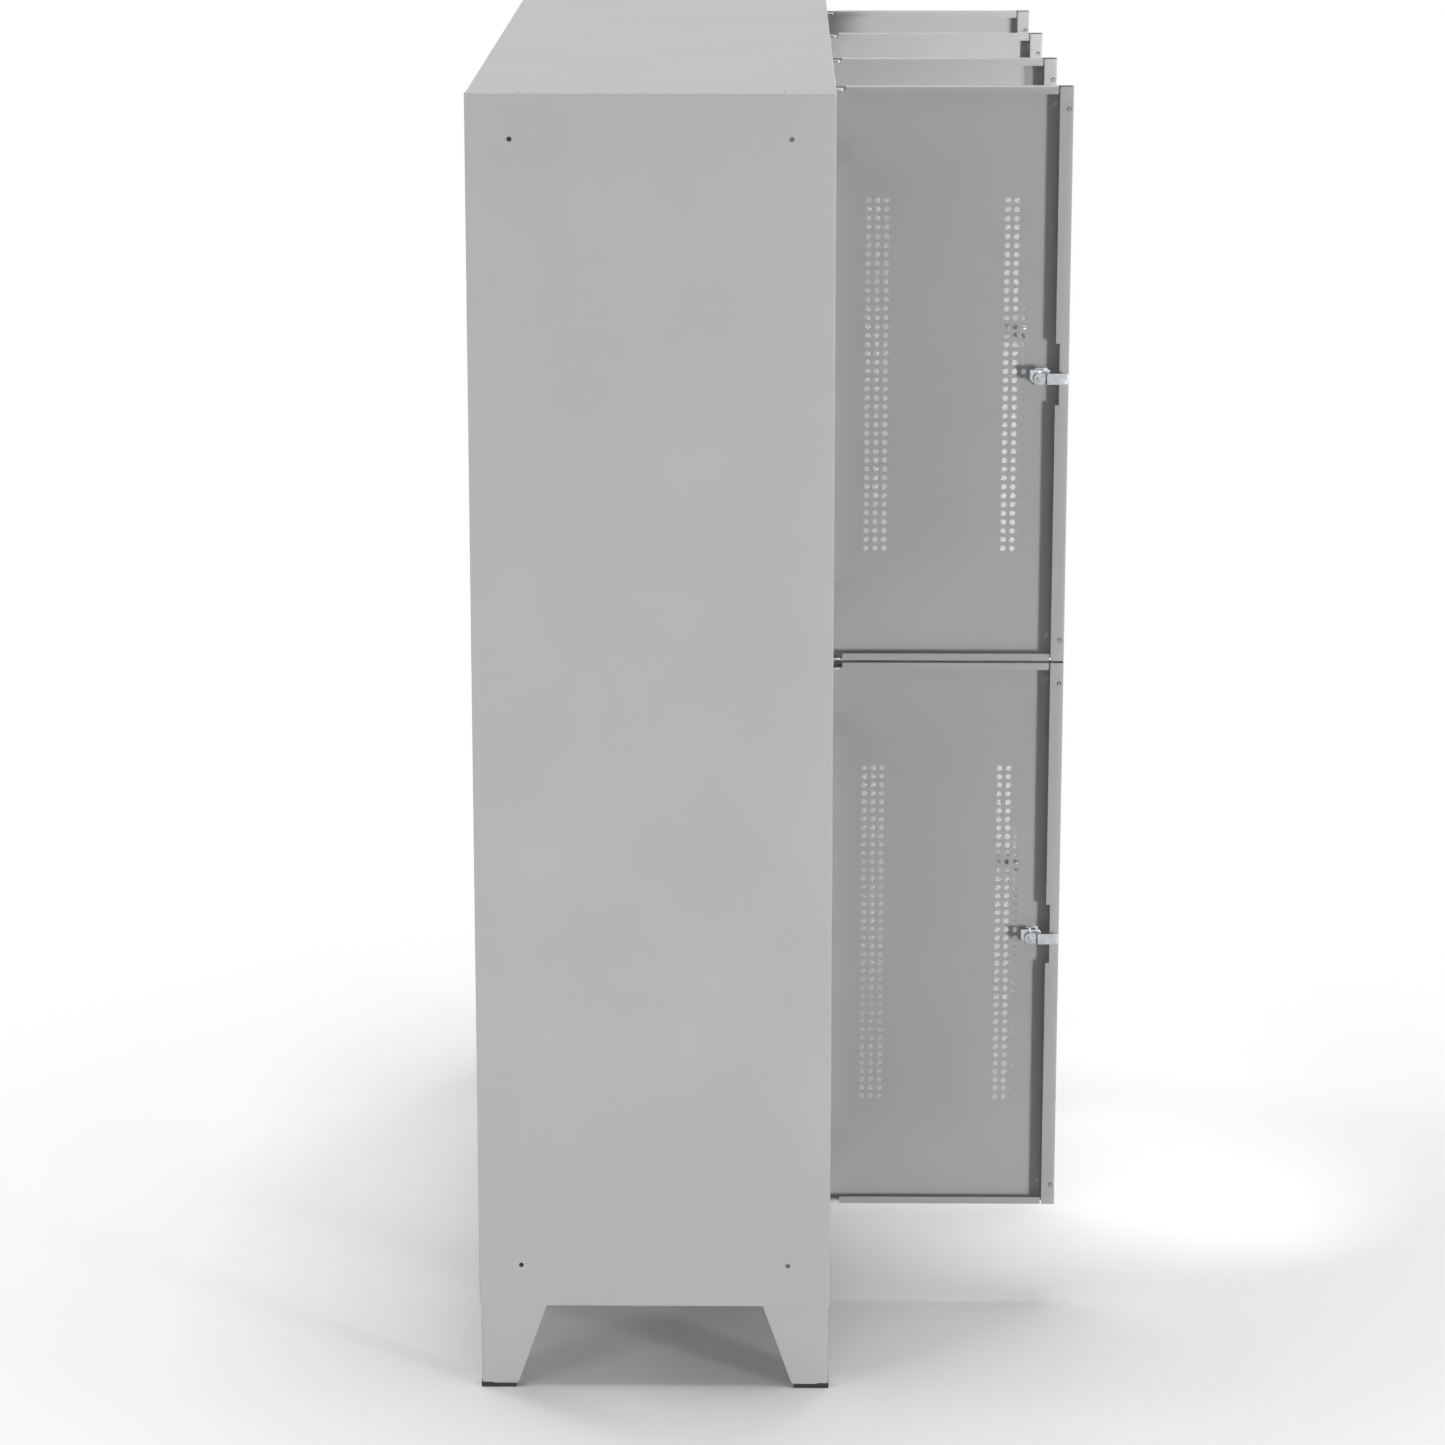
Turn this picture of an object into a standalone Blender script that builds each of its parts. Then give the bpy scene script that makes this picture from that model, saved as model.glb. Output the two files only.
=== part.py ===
"""Double-tier clothes locker of folded sheet steel on four corner feet.

Four columns of two compartments stand side by side. Each compartment has a clothes rail and a
door of its own, a flat pan of folded sheet that turns on pins at its right edge and carries a
cam lock near its left edge. The doors stand open at a right angle to the front, which is the
locker's rest position, and a quarter turn of the cam behind its strike holds a closed door.

Metres, +Z up. The user faces +Y, so the front looks towards -Y. The origin is on the floor,
at the middle of the box that holds the locker with its doors open.
"""

import math

import bmesh
import bpy
from mathutils import Matrix

# Overall size
WIDTH = 1.600
DEPTH = 0.500
HEIGHT = 1.850
COLUMNS = 4
BODY_UNDERSIDE = 0.125

# Sheet steel, and the gap between pieces that touch
SHEET = 0.001
SEAT = 0.0003
OVERRUN = 0.002
WELD_DISTANCE = 0.00001

# Posts between the doors, and the rails above and below them
POST_WIDTH = 0.040
POST_DEPTH = 0.024
STOP_WIDTH = 0.012
REAR_RETURN = 0.015
TOP_RAIL = 0.025
BOTTOM_RAIL = 0.026
BASE_RETURN = 0.030
SHELF_SKIRT = 0.025

# Holes for bolting lockers side by side
LINK_HOLE_RADIUS = 0.0035
LINK_HOLE_FROM_EDGE = 0.060
LINK_HOLE_FROM_END = 0.061

# Door leaves
LEAF_THICKNESS = 0.020
LEAF_SIDE_GAP = 0.0025
LEAF_END_GAP = 0.002
TIER_GAP = 0.003
SIDE_LIP = 0.0194
END_LIP = 0.0105
NOTCH_DEPTH = 0.0056
NOTCH_ABOVE = 0.050
NOTCH_BELOW = 0.0395

# Hinges: plates in the leaf's corners turn on pins that the body carries
PIVOT_FROM_EDGE = 0.0085
PIVOT_FROM_FACE = 0.0065
PLATE_THICKNESS = 0.0025
PLATE_LONG = 0.038
PLATE_SHORT = 0.028
RAIL_RECESS = 0.003
UPPER_RECESS = 0.001
LOWER_RECESS = 0.008
PIN_RADIUS = 0.003
PIN_CLEARANCE = 0.0003
PIN_REACH = 0.007
COLLAR_RADIUS = 0.005
LUG_THICKNESS = 0.003
LUG_ABOVE_PLATE = 0.0015

# Cam locks, measured from the leaf's free edge and its outer face
LOCK_FROM_EDGE = 0.042
BARREL_RADIUS = 0.0095
BARREL_LENGTH = 0.0237
BORE_RADIUS = 0.0065
RIM_RADIUS = 0.012
RIM_THICKNESS = 0.002
NUT_RADIUS = 0.013
NUT_THICKNESS = 0.004
CLIP_RADIUS = 0.0135
CLIP_BELOW = 0.003
CLIP_FACE = 0.0205
CLIP_THICKNESS = 0.0015
PLUG_RADIUS = 0.006
KEYWAY_HEIGHT = 0.008
KEYWAY_WIDTH = 0.0015
KEYWAY_DEPTH = 0.004
CAM_SHEET = 0.002
CAM_HUB_RADIUS = 0.0094
CAM_JOGGLE = 0.003
CAM_JOGGLE_START = 0.0085
CAM_REACH = 0.0405
TONGUE_WIDTH = 0.016
TONGUE_CLEARANCE = 0.001
SCREW_RADIUS = 0.0045
SCREW_HEAD = 0.003

# Strikes that the turned cams catch behind
STRIKE_THICKNESS = 0.002
STRIKE_START = 0.015
STRIKE_HEIGHT = 0.029
STRIKE_OVERREACH = 0.0015
STRIKE_CORNER = 0.006
TONGUE_SLOT_MARGIN = 0.004

# Clothes rails
RAIL_DROP = 0.060
RAIL_RADIUS = 0.010
CUP_RADIUS = 0.016
CUP_LENGTH = 0.006

# Corner feet and their glides
FOOT_INSET = 0.002
FOOT_SHEET = 0.002
FOOT_TOP_WIDTH = 0.094
FOOT_BOTTOM_WIDTH = 0.053
FOOT_CHAMFER = 0.003
GLIDE_LENGTH = 0.049
GLIDE_WIDTH = 0.010
GLIDE_HEIGHT = 0.0055

# Turned pieces: flats around a turn, points around a quarter of a rounded corner, and the
# degrees that a cam's round hub covers to each side
TURN_FLATS = 16
CORNER_POINTS = 4
CAM_HUB_SWEEP = 120
OPEN_ANGLE = math.radians(90)

# Places that follow from the sizes
PITCH = WIDTH / COLUMNS
LEAF_WIDTH = PITCH - POST_WIDTH - 2 * LEAF_SIDE_GAP
REACH = LEAF_WIDTH - PIVOT_FROM_EDGE - PIVOT_FROM_FACE
FRONT = -(DEPTH - REACH) / 2
BACK = FRONT + DEPTH
FLOOR = BODY_UNDERSIDE + BOTTOM_RAIL
RAIL_UNDERSIDE = HEIGHT - TOP_RAIL
LEAF_HEIGHT = (RAIL_UNDERSIDE - FLOOR - 2 * LEAF_END_GAP - TIER_GAP) / 2
LOWER_MIDDLE = FLOOR + LEAF_END_GAP + LEAF_HEIGHT / 2
UPPER_MIDDLE = RAIL_UNDERSIDE - LEAF_END_GAP - LEAF_HEIGHT / 2
TIER_HEIGHTS = {"lower": LOWER_MIDDLE, "upper": UPPER_MIDDLE}
BACK_PANEL_REAR = BACK - SHEET - SEAT
BACK_PANEL_FRONT = BACK_PANEL_REAR - SHEET
INNER_REAR = BACK_PANEL_FRONT - SEAT
PIVOT_Y = FRONT + PIVOT_FROM_FACE
LUG_TOP = LOWER_MIDDLE + LEAF_HEIGHT / 2 - LOWER_RECESS + LUG_ABOVE_PLATE + LUG_THICKNESS
SHELF_TOP = (LOWER_MIDDLE + UPPER_MIDDLE) / 2 + SHELF_SKIRT / 2
TONGUE_FACE = POST_DEPTH + SEAT + STRIKE_THICKNESS + TONGUE_CLEARANCE
LOCK_X = PIVOT_FROM_EDGE - LEAF_WIDTH + LOCK_FROM_EDGE

PAINT = (0.55, 0.56, 0.55)
ZINC = (0.62, 0.63, 0.64)
BLACK_PLASTIC = (0.012, 0.012, 0.013)


def column_left(column):
    """The x of a column's left side."""
    return -WIDTH / 2 + column * PITCH


def hinge_x(column):
    """The x of the hinge axis of a column's doors."""
    return column_left(column) + PITCH - POST_WIDTH / 2 - LEAF_SIDE_GAP - PIVOT_FROM_EDGE


def inner_walls(column):
    """The x of the two walls that a column's shelf and rails reach to, less their seats."""
    left = SHEET if column == 0 else SHEET / 2
    right = SHEET if column == COLUMNS - 1 else SHEET / 2
    return column_left(column) + left + SEAT, column_left(column + 1) - right - SEAT


def clear_scene():
    for item in list(bpy.data.objects):
        bpy.data.objects.remove(item, do_unlink=True)


def make_collection(name):
    collection = bpy.data.collections.new(name)
    bpy.context.scene.collection.children.link(collection)
    return collection


def make_material(name, colour, roughness, metallic):
    """A Principled material of one colour."""
    material = bpy.data.materials.new(name)
    material.use_nodes = True
    shader = material.node_tree.nodes["Principled BSDF"]
    shader.inputs["Base Color"].default_value = (*colour, 1.0)
    shader.inputs["Roughness"].default_value = roughness
    shader.inputs["Metallic"].default_value = metallic
    return material


def add_shape(mesh):
    """An object for a mesh that still waits to be cut or joined."""
    shape = bpy.data.objects.new(mesh.name, mesh)
    shape.display_type = "WIRE"
    shape.hide_render = True
    shapes.objects.link(shape)
    return shape


def bake(shape):
    """Turn an object's curve or modifiers into a plain mesh with its place in the mesh."""
    bpy.context.view_layer.update()
    graph = bpy.context.evaluated_depsgraph_get()
    mesh = bpy.data.meshes.new_from_object(shape.evaluated_get(graph))
    mesh.transform(shape.matrix_world)
    work = bmesh.new()
    work.from_mesh(mesh)
    bmesh.ops.remove_doubles(work, verts=work.verts, dist=WELD_DISTANCE)
    bmesh.ops.recalc_face_normals(work, faces=work.faces)
    work.to_mesh(mesh)
    work.free()
    bpy.data.objects.remove(shape, do_unlink=True)
    return mesh


def prism(outline, low, high, axis):
    """A flat outline pushed along an axis: (y, z) along X, (x, z) along Y or (x, y) along Z."""
    curve = bpy.data.curves.new("outline", "CURVE")
    curve.dimensions = "2D"
    curve.fill_mode = "BOTH"
    curve.extrude = abs(high - low) / 2
    line = curve.splines.new("POLY")
    line.points.add(len(outline) - 1)
    for point, (across, along) in zip(line.points, outline):
        point.co = (across, along, 0, 1)
    line.use_cyclic_u = True
    shape = bpy.data.objects.new("outline", curve)
    shapes.objects.link(shape)
    middle = (low + high) / 2
    turn = {
        "X": Matrix(((0, 0, 1, middle), (1, 0, 0, 0), (0, 1, 0, 0), (0, 0, 0, 1))),
        "Y": Matrix(((1, 0, 0, 0), (0, 0, -1, middle), (0, 1, 0, 0), (0, 0, 0, 1))),
        "Z": Matrix.Translation((0, 0, middle)),
    }
    shape.matrix_world = turn[axis]
    return add_shape(bake(shape))


def box(low, high):
    """A box between two corners."""
    work = bmesh.new()
    bmesh.ops.create_cube(work, size=1)
    for vertex in work.verts:
        for axis in range(3):
            share = vertex.co[axis] + 0.5
            vertex.co[axis] = low[axis] + share * (high[axis] - low[axis])
    bmesh.ops.recalc_face_normals(work, faces=work.faces)
    mesh = bpy.data.meshes.new("box")
    work.to_mesh(mesh)
    work.free()
    return add_shape(mesh)


def rod(radius, low, high, centre, axis, flats=TURN_FLATS):
    """A round bar along an axis, from low to high; centre gives its other two coordinates."""
    work = bmesh.new()
    bmesh.ops.create_cone(
        work, cap_ends=True, segments=flats, radius1=radius, radius2=radius, depth=high - low
    )
    middle = (low + high) / 2
    turn = {
        "X": Matrix.Translation((middle, *centre)) @ Matrix.Rotation(math.pi / 2, 4, "Y"),
        "Y": Matrix.Translation((centre[0], middle, centre[1]))
        @ Matrix.Rotation(math.pi / 2, 4, "X"),
        "Z": Matrix.Translation((*centre, middle)),
    }
    bmesh.ops.transform(work, matrix=turn[axis], verts=work.verts)
    mesh = bpy.data.meshes.new("rod")
    work.to_mesh(mesh)
    work.free()
    return add_shape(mesh)


def combine(operation, body, tools):
    """Join tools to a body, or cut them from it, and use the tools up."""
    for tool in tools:
        modifier = body.modifiers.new(operation.lower(), "BOOLEAN")
        modifier.operation = operation
        modifier.solver = "EXACT"
        modifier.object = tool
    result = add_shape(bake(body))
    for tool in tools:
        bpy.data.objects.remove(tool, do_unlink=True)
    return result


def join(body, *tools):
    return combine("UNION", body, tools)


def cut(body, *tools):
    return combine("DIFFERENCE", body, tools)


def keep_common(body, *tools):
    return combine("INTERSECT", body, tools)


def finish(name, shape, material, parent=None, location=(0, 0, 0)):
    """Name a finished shape, give it its material and put it in the locker."""
    mesh = shape.data
    bpy.data.objects.remove(shape, do_unlink=True)
    return place(name, mesh, material, parent, location)


def place(name, mesh, material, parent=None, location=(0, 0, 0)):
    """Add a node for a mesh, which copies of a piece may share."""
    mesh.name = name
    mesh.materials.clear()
    mesh.materials.append(material)
    node = bpy.data.objects.new(name, mesh)
    node.location = location
    node.parent = parent
    locker.objects.link(node)
    return node


def take_mesh(shape):
    """A finished shape's mesh, for pieces that several nodes share."""
    mesh = shape.data
    bpy.data.objects.remove(shape, do_unlink=True)
    return mesh


def arc(centre_x, centre_z, radius, start, end, points=CORNER_POINTS):
    """Points along an arc, the angles in degrees."""
    angles = [math.radians(start + (end - start) * step / points) for step in range(points + 1)]
    return [(centre_x + radius * math.cos(a), centre_z + radius * math.sin(a)) for a in angles]


# Folded section of half a post, from a wall at x to the stop flange of the doors' side
def half_post(wall_x, side):
    """Plan points of a post's return and stop, from the front face back to the wall's sheet."""
    edge = wall_x + side * POST_WIDTH / 2
    inside = edge - side * SHEET
    stop = edge + side * STOP_WIDTH
    stop_front = FRONT + POST_DEPTH - SHEET
    stop_rear = FRONT + POST_DEPTH
    return [
        (edge, FRONT),
        (edge, stop_front),
        (stop, stop_front),
        (stop, stop_rear),
        (inside, stop_rear),
        (inside, FRONT + SHEET),
    ]


def hinge_lug(column):
    """Middle hinge of a column: a lug on the post's stop, a two-ended pin and its collar."""
    x = hinge_x(column)
    centre = (x, PIVOT_Y)
    lug_underside = LUG_TOP - LUG_THICKNESS
    upper_plate = UPPER_MIDDLE - LEAF_HEIGHT / 2 + UPPER_RECESS
    lower_plate = LOWER_MIDDLE + LEAF_HEIGHT / 2 - LOWER_RECESS
    rear = FRONT + POST_DEPTH - SHEET / 2
    neck = box((x - COLLAR_RADIUS, PIVOT_Y, lug_underside), (x + COLLAR_RADIUS, rear, LUG_TOP))
    collar_top = upper_plate - SEAT
    collar = rod(COLLAR_RADIUS, lug_underside, collar_top, centre, "Z")
    pin_low = lower_plate - PLATE_THICKNESS - PIN_REACH
    pin_high = upper_plate + PLATE_THICKNESS + PIN_REACH
    pin = rod(PIN_RADIUS, pin_low, pin_high, centre, "Z")
    return [neck, collar, pin]


def tongue_slots(post_x):
    """Cutters for the slots that let the cams through a post's stop flange."""
    edge = post_x + POST_WIDTH / 2
    half = TONGUE_WIDTH / 2 + TONGUE_SLOT_MARGIN
    slots = []
    for middle in TIER_HEIGHTS.values():
        low = (edge + SEAT, FRONT + POST_DEPTH - SHEET - OVERRUN, middle - half)
        high = (edge + STOP_WIDTH + OVERRUN, FRONT + POST_DEPTH + OVERRUN, middle + half)
        slots.append(box(low, high))
    return slots


def make_side_panel(name, side):
    """Outer wall folded in at the front for a post and at the rear for the back's seat."""
    outer = side * WIDTH / 2
    inner = outer - side * SHEET
    wall = [
        (outer, FRONT),
        (inner, FRONT),
        (inner, BACK - SHEET),
        (outer - side * REAR_RETURN, BACK - SHEET),
        (outer - side * REAR_RETURN, BACK),
        (outer, BACK),
    ]
    post = [(outer, FRONT)] + half_post(outer, -side) + [(outer, FRONT + SHEET)]
    body = join(
        prism(wall, BODY_UNDERSIDE, HEIGHT, "Z"),
        prism(post, FLOOR + SEAT, RAIL_UNDERSIDE - SEAT, "Z"),
    )
    holes = []
    for y in (FRONT + LINK_HOLE_FROM_EDGE, BACK - LINK_HOLE_FROM_EDGE):
        for z in (BODY_UNDERSIDE + LINK_HOLE_FROM_END, HEIGHT - LINK_HOLE_FROM_END):
            low, high = sorted((outer + side * OVERRUN, inner - side * OVERRUN))
            holes.append(rod(LINK_HOLE_RADIUS, low, high, (y, z), "X"))
    body = cut(body, *holes)
    if side < 0:
        body = cut(body, *tongue_slots(outer))
    else:
        body = join(body, *hinge_lug(COLUMNS - 1))
    finish(name, body, paint("side_panel_paint"))


def make_divider(number):
    """Wall between two columns with a folded post along its front edge."""
    x = column_left(number)
    left = half_post(x, -1)
    right = half_post(x, 1)
    web_x = SHEET / 2
    overlap = FRONT + POST_DEPTH + OVERRUN + SEAT
    stub = [(x + web_x, FRONT + SHEET), (x + web_x, overlap)]
    stub += [(x - web_x, overlap), (x - web_x, FRONT + SHEET)]
    outline = right + stub + list(reversed(left))
    web_low = (x - web_x, FRONT + POST_DEPTH + SEAT, FLOOR + SEAT)
    web_high = (x + web_x, INNER_REAR, HEIGHT - SHEET - SEAT)
    body = join(
        prism(outline, FLOOR + SEAT, RAIL_UNDERSIDE - SEAT, "Z"),
        box(web_low, web_high),
    )
    body = cut(body, *tongue_slots(x))
    body = join(body, *hinge_lug(number - 1))
    finish(f"divider_{number}", body, paint("divider_paint"))


def make_top_panel():
    """Top sheet folded down into the front rail, with the pins of the upper doors."""
    rear = BACK_PANEL_REAR
    outline = [
        (FRONT, RAIL_UNDERSIDE),
        (FRONT + POST_DEPTH, RAIL_UNDERSIDE),
        (FRONT + POST_DEPTH, RAIL_UNDERSIDE + SHEET),
        (FRONT + SHEET, RAIL_UNDERSIDE + SHEET),
        (FRONT + SHEET, HEIGHT - SHEET),
        (rear, HEIGHT - SHEET),
        (rear, HEIGHT),
        (FRONT, HEIGHT),
    ]
    half = WIDTH / 2 - SHEET - SEAT
    body = prism(outline, -half, half, "X")
    plate = UPPER_MIDDLE + LEAF_HEIGHT / 2 - RAIL_RECESS
    pin_low = plate - PLATE_THICKNESS - PIN_REACH
    pin_high = RAIL_UNDERSIDE + SHEET + SHEET
    pins = [
        rod(PIN_RADIUS, pin_low, pin_high, (hinge_x(column), PIVOT_Y), "Z")
        for column in range(COLUMNS)
    ]
    finish("top_panel", join(body, *pins), paint("top_panel_paint"))


def make_base_panel():
    """Floor sheet folded down into the front and rear skirts, with the lower doors' pins."""
    outline = [
        (FRONT, BODY_UNDERSIDE),
        (FRONT + BASE_RETURN, BODY_UNDERSIDE),
        (FRONT + BASE_RETURN, BODY_UNDERSIDE + SHEET),
        (FRONT + SHEET, BODY_UNDERSIDE + SHEET),
        (FRONT + SHEET, FLOOR - SHEET),
        (INNER_REAR - SHEET, FLOOR - SHEET),
        (INNER_REAR - SHEET, BODY_UNDERSIDE + SHEET),
        (INNER_REAR - BASE_RETURN, BODY_UNDERSIDE + SHEET),
        (INNER_REAR - BASE_RETURN, BODY_UNDERSIDE),
        (INNER_REAR, BODY_UNDERSIDE),
        (INNER_REAR, FLOOR),
        (FRONT, FLOOR),
    ]
    half = WIDTH / 2 - SHEET - SEAT
    body = prism(outline, -half, half, "X")
    plate = LOWER_MIDDLE - LEAF_HEIGHT / 2 + RAIL_RECESS
    pin_high = plate + PLATE_THICKNESS + PIN_REACH
    pins = []
    for column in range(COLUMNS):
        centre = (hinge_x(column), PIVOT_Y)
        pins.append(rod(COLLAR_RADIUS, FLOOR - SHEET / 2, plate - SEAT, centre, "Z"))
        pins.append(rod(PIN_RADIUS, FLOOR - SHEET / 2, pin_high, centre, "Z"))
    finish("base_panel", join(body, *pins), paint("base_panel_paint"))


def make_back_panel():
    half = WIDTH / 2 - SHEET - SEAT
    low = (-half, BACK_PANEL_FRONT, BODY_UNDERSIDE)
    high = (half, BACK_PANEL_REAR, HEIGHT - SHEET - SEAT)
    finish("back_panel", box(low, high), paint("back_panel_paint"))


def make_shelf(column):
    """Shelf between the two tiers, folded down along its front and rear edges."""
    front = FRONT + POST_DEPTH + SEAT
    underside = SHELF_TOP - SHELF_SKIRT
    outline = [
        (front, underside),
        (front + SHEET, underside),
        (front + SHEET, SHELF_TOP - SHEET),
        (INNER_REAR - SHEET, SHELF_TOP - SHEET),
        (INNER_REAR - SHEET, underside),
        (INNER_REAR, underside),
        (INNER_REAR, SHELF_TOP),
        (front, SHELF_TOP),
    ]
    left, right = inner_walls(column)
    finish(f"shelf_{column + 1}", prism(outline, left, right, "X"), paint("shelf_paint"))


def make_clothes_rail(tier, column):
    """Round rail across a compartment, in a cup at each end."""
    ceilings = {"upper": HEIGHT - SHEET, "lower": SHELF_TOP - SHEET}
    centre = (FRONT + DEPTH / 2, ceilings[tier] - RAIL_DROP)
    left, right = inner_walls(column)
    body = join(
        rod(RAIL_RADIUS, left + CUP_LENGTH / 2, right - CUP_LENGTH / 2, centre, "X"),
        rod(CUP_RADIUS, left, left + CUP_LENGTH, centre, "X"),
        rod(CUP_RADIUS, right - CUP_LENGTH, right, centre, "X"),
    )
    finish(f"clothes_rail_{tier}_{column + 1}", body, zinc("clothes_rail_steel"))


def make_foot(name, side, end):
    """Corner foot of two tapered plates under a top plate, and the glide that it stands on.

    side is -1 at the left and 1 at the right; end is -1 at the front and 1 at the rear."""
    corner_x = side * (WIDTH / 2 - FOOT_INSET)
    corner_y = (FRONT + FOOT_INSET) if end < 0 else (BACK - FOOT_INSET)
    low = GLIDE_HEIGHT + SEAT
    high = BODY_UNDERSIDE - SEAT
    angle = [
        (0, 0),
        (FOOT_TOP_WIDTH, 0),
        (FOOT_TOP_WIDTH, FOOT_SHEET),
        (FOOT_SHEET, FOOT_SHEET),
        (FOOT_SHEET, FOOT_TOP_WIDTH),
        (0, FOOT_TOP_WIDTH),
    ]
    angle_plan = [(corner_x - side * x, corner_y - end * y) for x, y in angle]
    beyond = FOOT_TOP_WIDTH + OVERRUN
    taper = [
        (FOOT_BOTTOM_WIDTH - FOOT_CHAMFER - OVERRUN, low - OVERRUN),
        (FOOT_BOTTOM_WIDTH, low + FOOT_CHAMFER),
        (FOOT_TOP_WIDTH, high - SEAT),
        (beyond, high - SEAT),
        (beyond, low - OVERRUN),
    ]
    side_taper = [(corner_y - end * across, z) for across, z in taper]
    front_taper = [(corner_x - side * across, z) for across, z in taper]
    outside_x = corner_x + side * OVERRUN
    outside_y = corner_y + end * OVERRUN
    inside_x = corner_x - side * (FOOT_SHEET + OVERRUN)
    inside_y = corner_y - end * (FOOT_SHEET + OVERRUN)
    body = cut(
        prism(angle_plan, low, high, "Z"),
        prism(side_taper, outside_x, inside_x, "X"),
        prism(front_taper, outside_y, inside_y, "Y"),
    )
    near_x = corner_x - side * FOOT_SHEET / 2
    near_y = corner_y - end * FOOT_SHEET / 2
    far_x = corner_x - side * (FOOT_TOP_WIDTH - FOOT_SHEET)
    far_y = corner_y - end * (FOOT_TOP_WIDTH - FOOT_SHEET)
    top_low = (min(near_x, far_x), min(near_y, far_y), high - SEAT - FOOT_SHEET)
    top_high = (max(near_x, far_x), max(near_y, far_y), high - SEAT)
    body = join(body, box(top_low, top_high))
    finish(f"foot_{name}", body, paint("foot_paint"))

    shoe = [
        (0, 0),
        (GLIDE_LENGTH, 0),
        (GLIDE_LENGTH, GLIDE_WIDTH),
        (GLIDE_WIDTH, GLIDE_WIDTH),
        (GLIDE_WIDTH, GLIDE_LENGTH),
        (0, GLIDE_LENGTH),
    ]
    shoe_plan = [(corner_x - side * x, corner_y - end * y) for x, y in shoe]
    glide = prism(shoe_plan, 0, GLIDE_HEIGHT, "Z")
    material = make_material("glide_plastic", BLACK_PLASTIC, roughness=0.55, metallic=0)
    finish(f"glide_{name}", glide, material)


def leaf_shape(top_recess, bottom_recess):
    """A door leaf, closed, with its hinge axis at x = y = 0 and its middle at z = 0."""
    right = PIVOT_FROM_EDGE
    left = right - LEAF_WIDTH
    face = -PIVOT_FROM_FACE
    rear = face + LEAF_THICKNESS
    half = LEAF_HEIGHT / 2
    body = box((left, face, -half), (right, rear, half))
    pan = box(
        (left + SHEET, face + SHEET, SHEET - half), (right - SHEET, rear - SHEET, half - SHEET)
    )
    window = box(
        (left + SIDE_LIP, rear - SHEET - OVERRUN, END_LIP - half),
        (right - SIDE_LIP, rear + OVERRUN, half - END_LIP),
    )
    notch = box(
        (left + SIDE_LIP - NOTCH_DEPTH, rear - SHEET - OVERRUN, -NOTCH_BELOW),
        (left + SIDE_LIP + OVERRUN, rear + OVERRUN, NOTCH_ABOVE),
    )
    cut_left = right - PLATE_LONG
    corners = [
        box((cut_left, face + SHEET, low), (right + OVERRUN, rear + OVERRUN, high))
        for low, high in ((half - END_LIP, half + OVERRUN), (-half - OVERRUN, END_LIP - half))
    ]
    lock_hole = rod(
        BARREL_RADIUS + PIN_CLEARANCE, face - OVERRUN, face + SHEET + OVERRUN, (LOCK_X, 0), "Y"
    )
    body = cut(body, pan, window, notch, *corners, lock_hole)
    plate_plan = [
        (right, face + SHEET / 2),
        (right - PLATE_LONG, face + SHEET / 2),
        (right - PLATE_SHORT, rear),
        (right, rear),
    ]
    plates = []
    for high in (half - top_recess, -half + bottom_recess + PLATE_THICKNESS):
        plates.append(prism(plate_plan, high - PLATE_THICKNESS, high, "Z"))
    body = join(body, *plates)
    pin_hole = rod(PIN_RADIUS + PIN_CLEARANCE, -half - OVERRUN, half + OVERRUN, (0, 0), "Z")
    return cut(body, pin_hole)


def lock_shape():
    """The fixed body of a cam lock: rim, barrel with its bore, ring nut and horseshoe clip."""
    neck_rear = SHEET + SEAT
    body = join(
        rod(RIM_RADIUS, -RIM_THICKNESS, -SEAT, (0, 0), "Y"),
        rod(BARREL_RADIUS, -RIM_THICKNESS / 2, BARREL_LENGTH, (0, 0), "Y"),
        rod(NUT_RADIUS, neck_rear, neck_rear + NUT_THICKNESS, (0, 0), "Y"),
    )
    clip_plan = [(-CLIP_RADIUS, -CLIP_BELOW), (CLIP_RADIUS, -CLIP_BELOW)]
    clip_plan += arc(0, 0, CLIP_RADIUS, 0, 180, 2 * CORNER_POINTS)
    clip = prism(clip_plan, CLIP_FACE, CLIP_FACE + CLIP_THICKNESS, "Y")
    bore = rod(BORE_RADIUS, -RIM_THICKNESS - OVERRUN, BARREL_LENGTH + OVERRUN, (0, 0), "Y")
    return cut(join(body, clip), bore)


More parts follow.
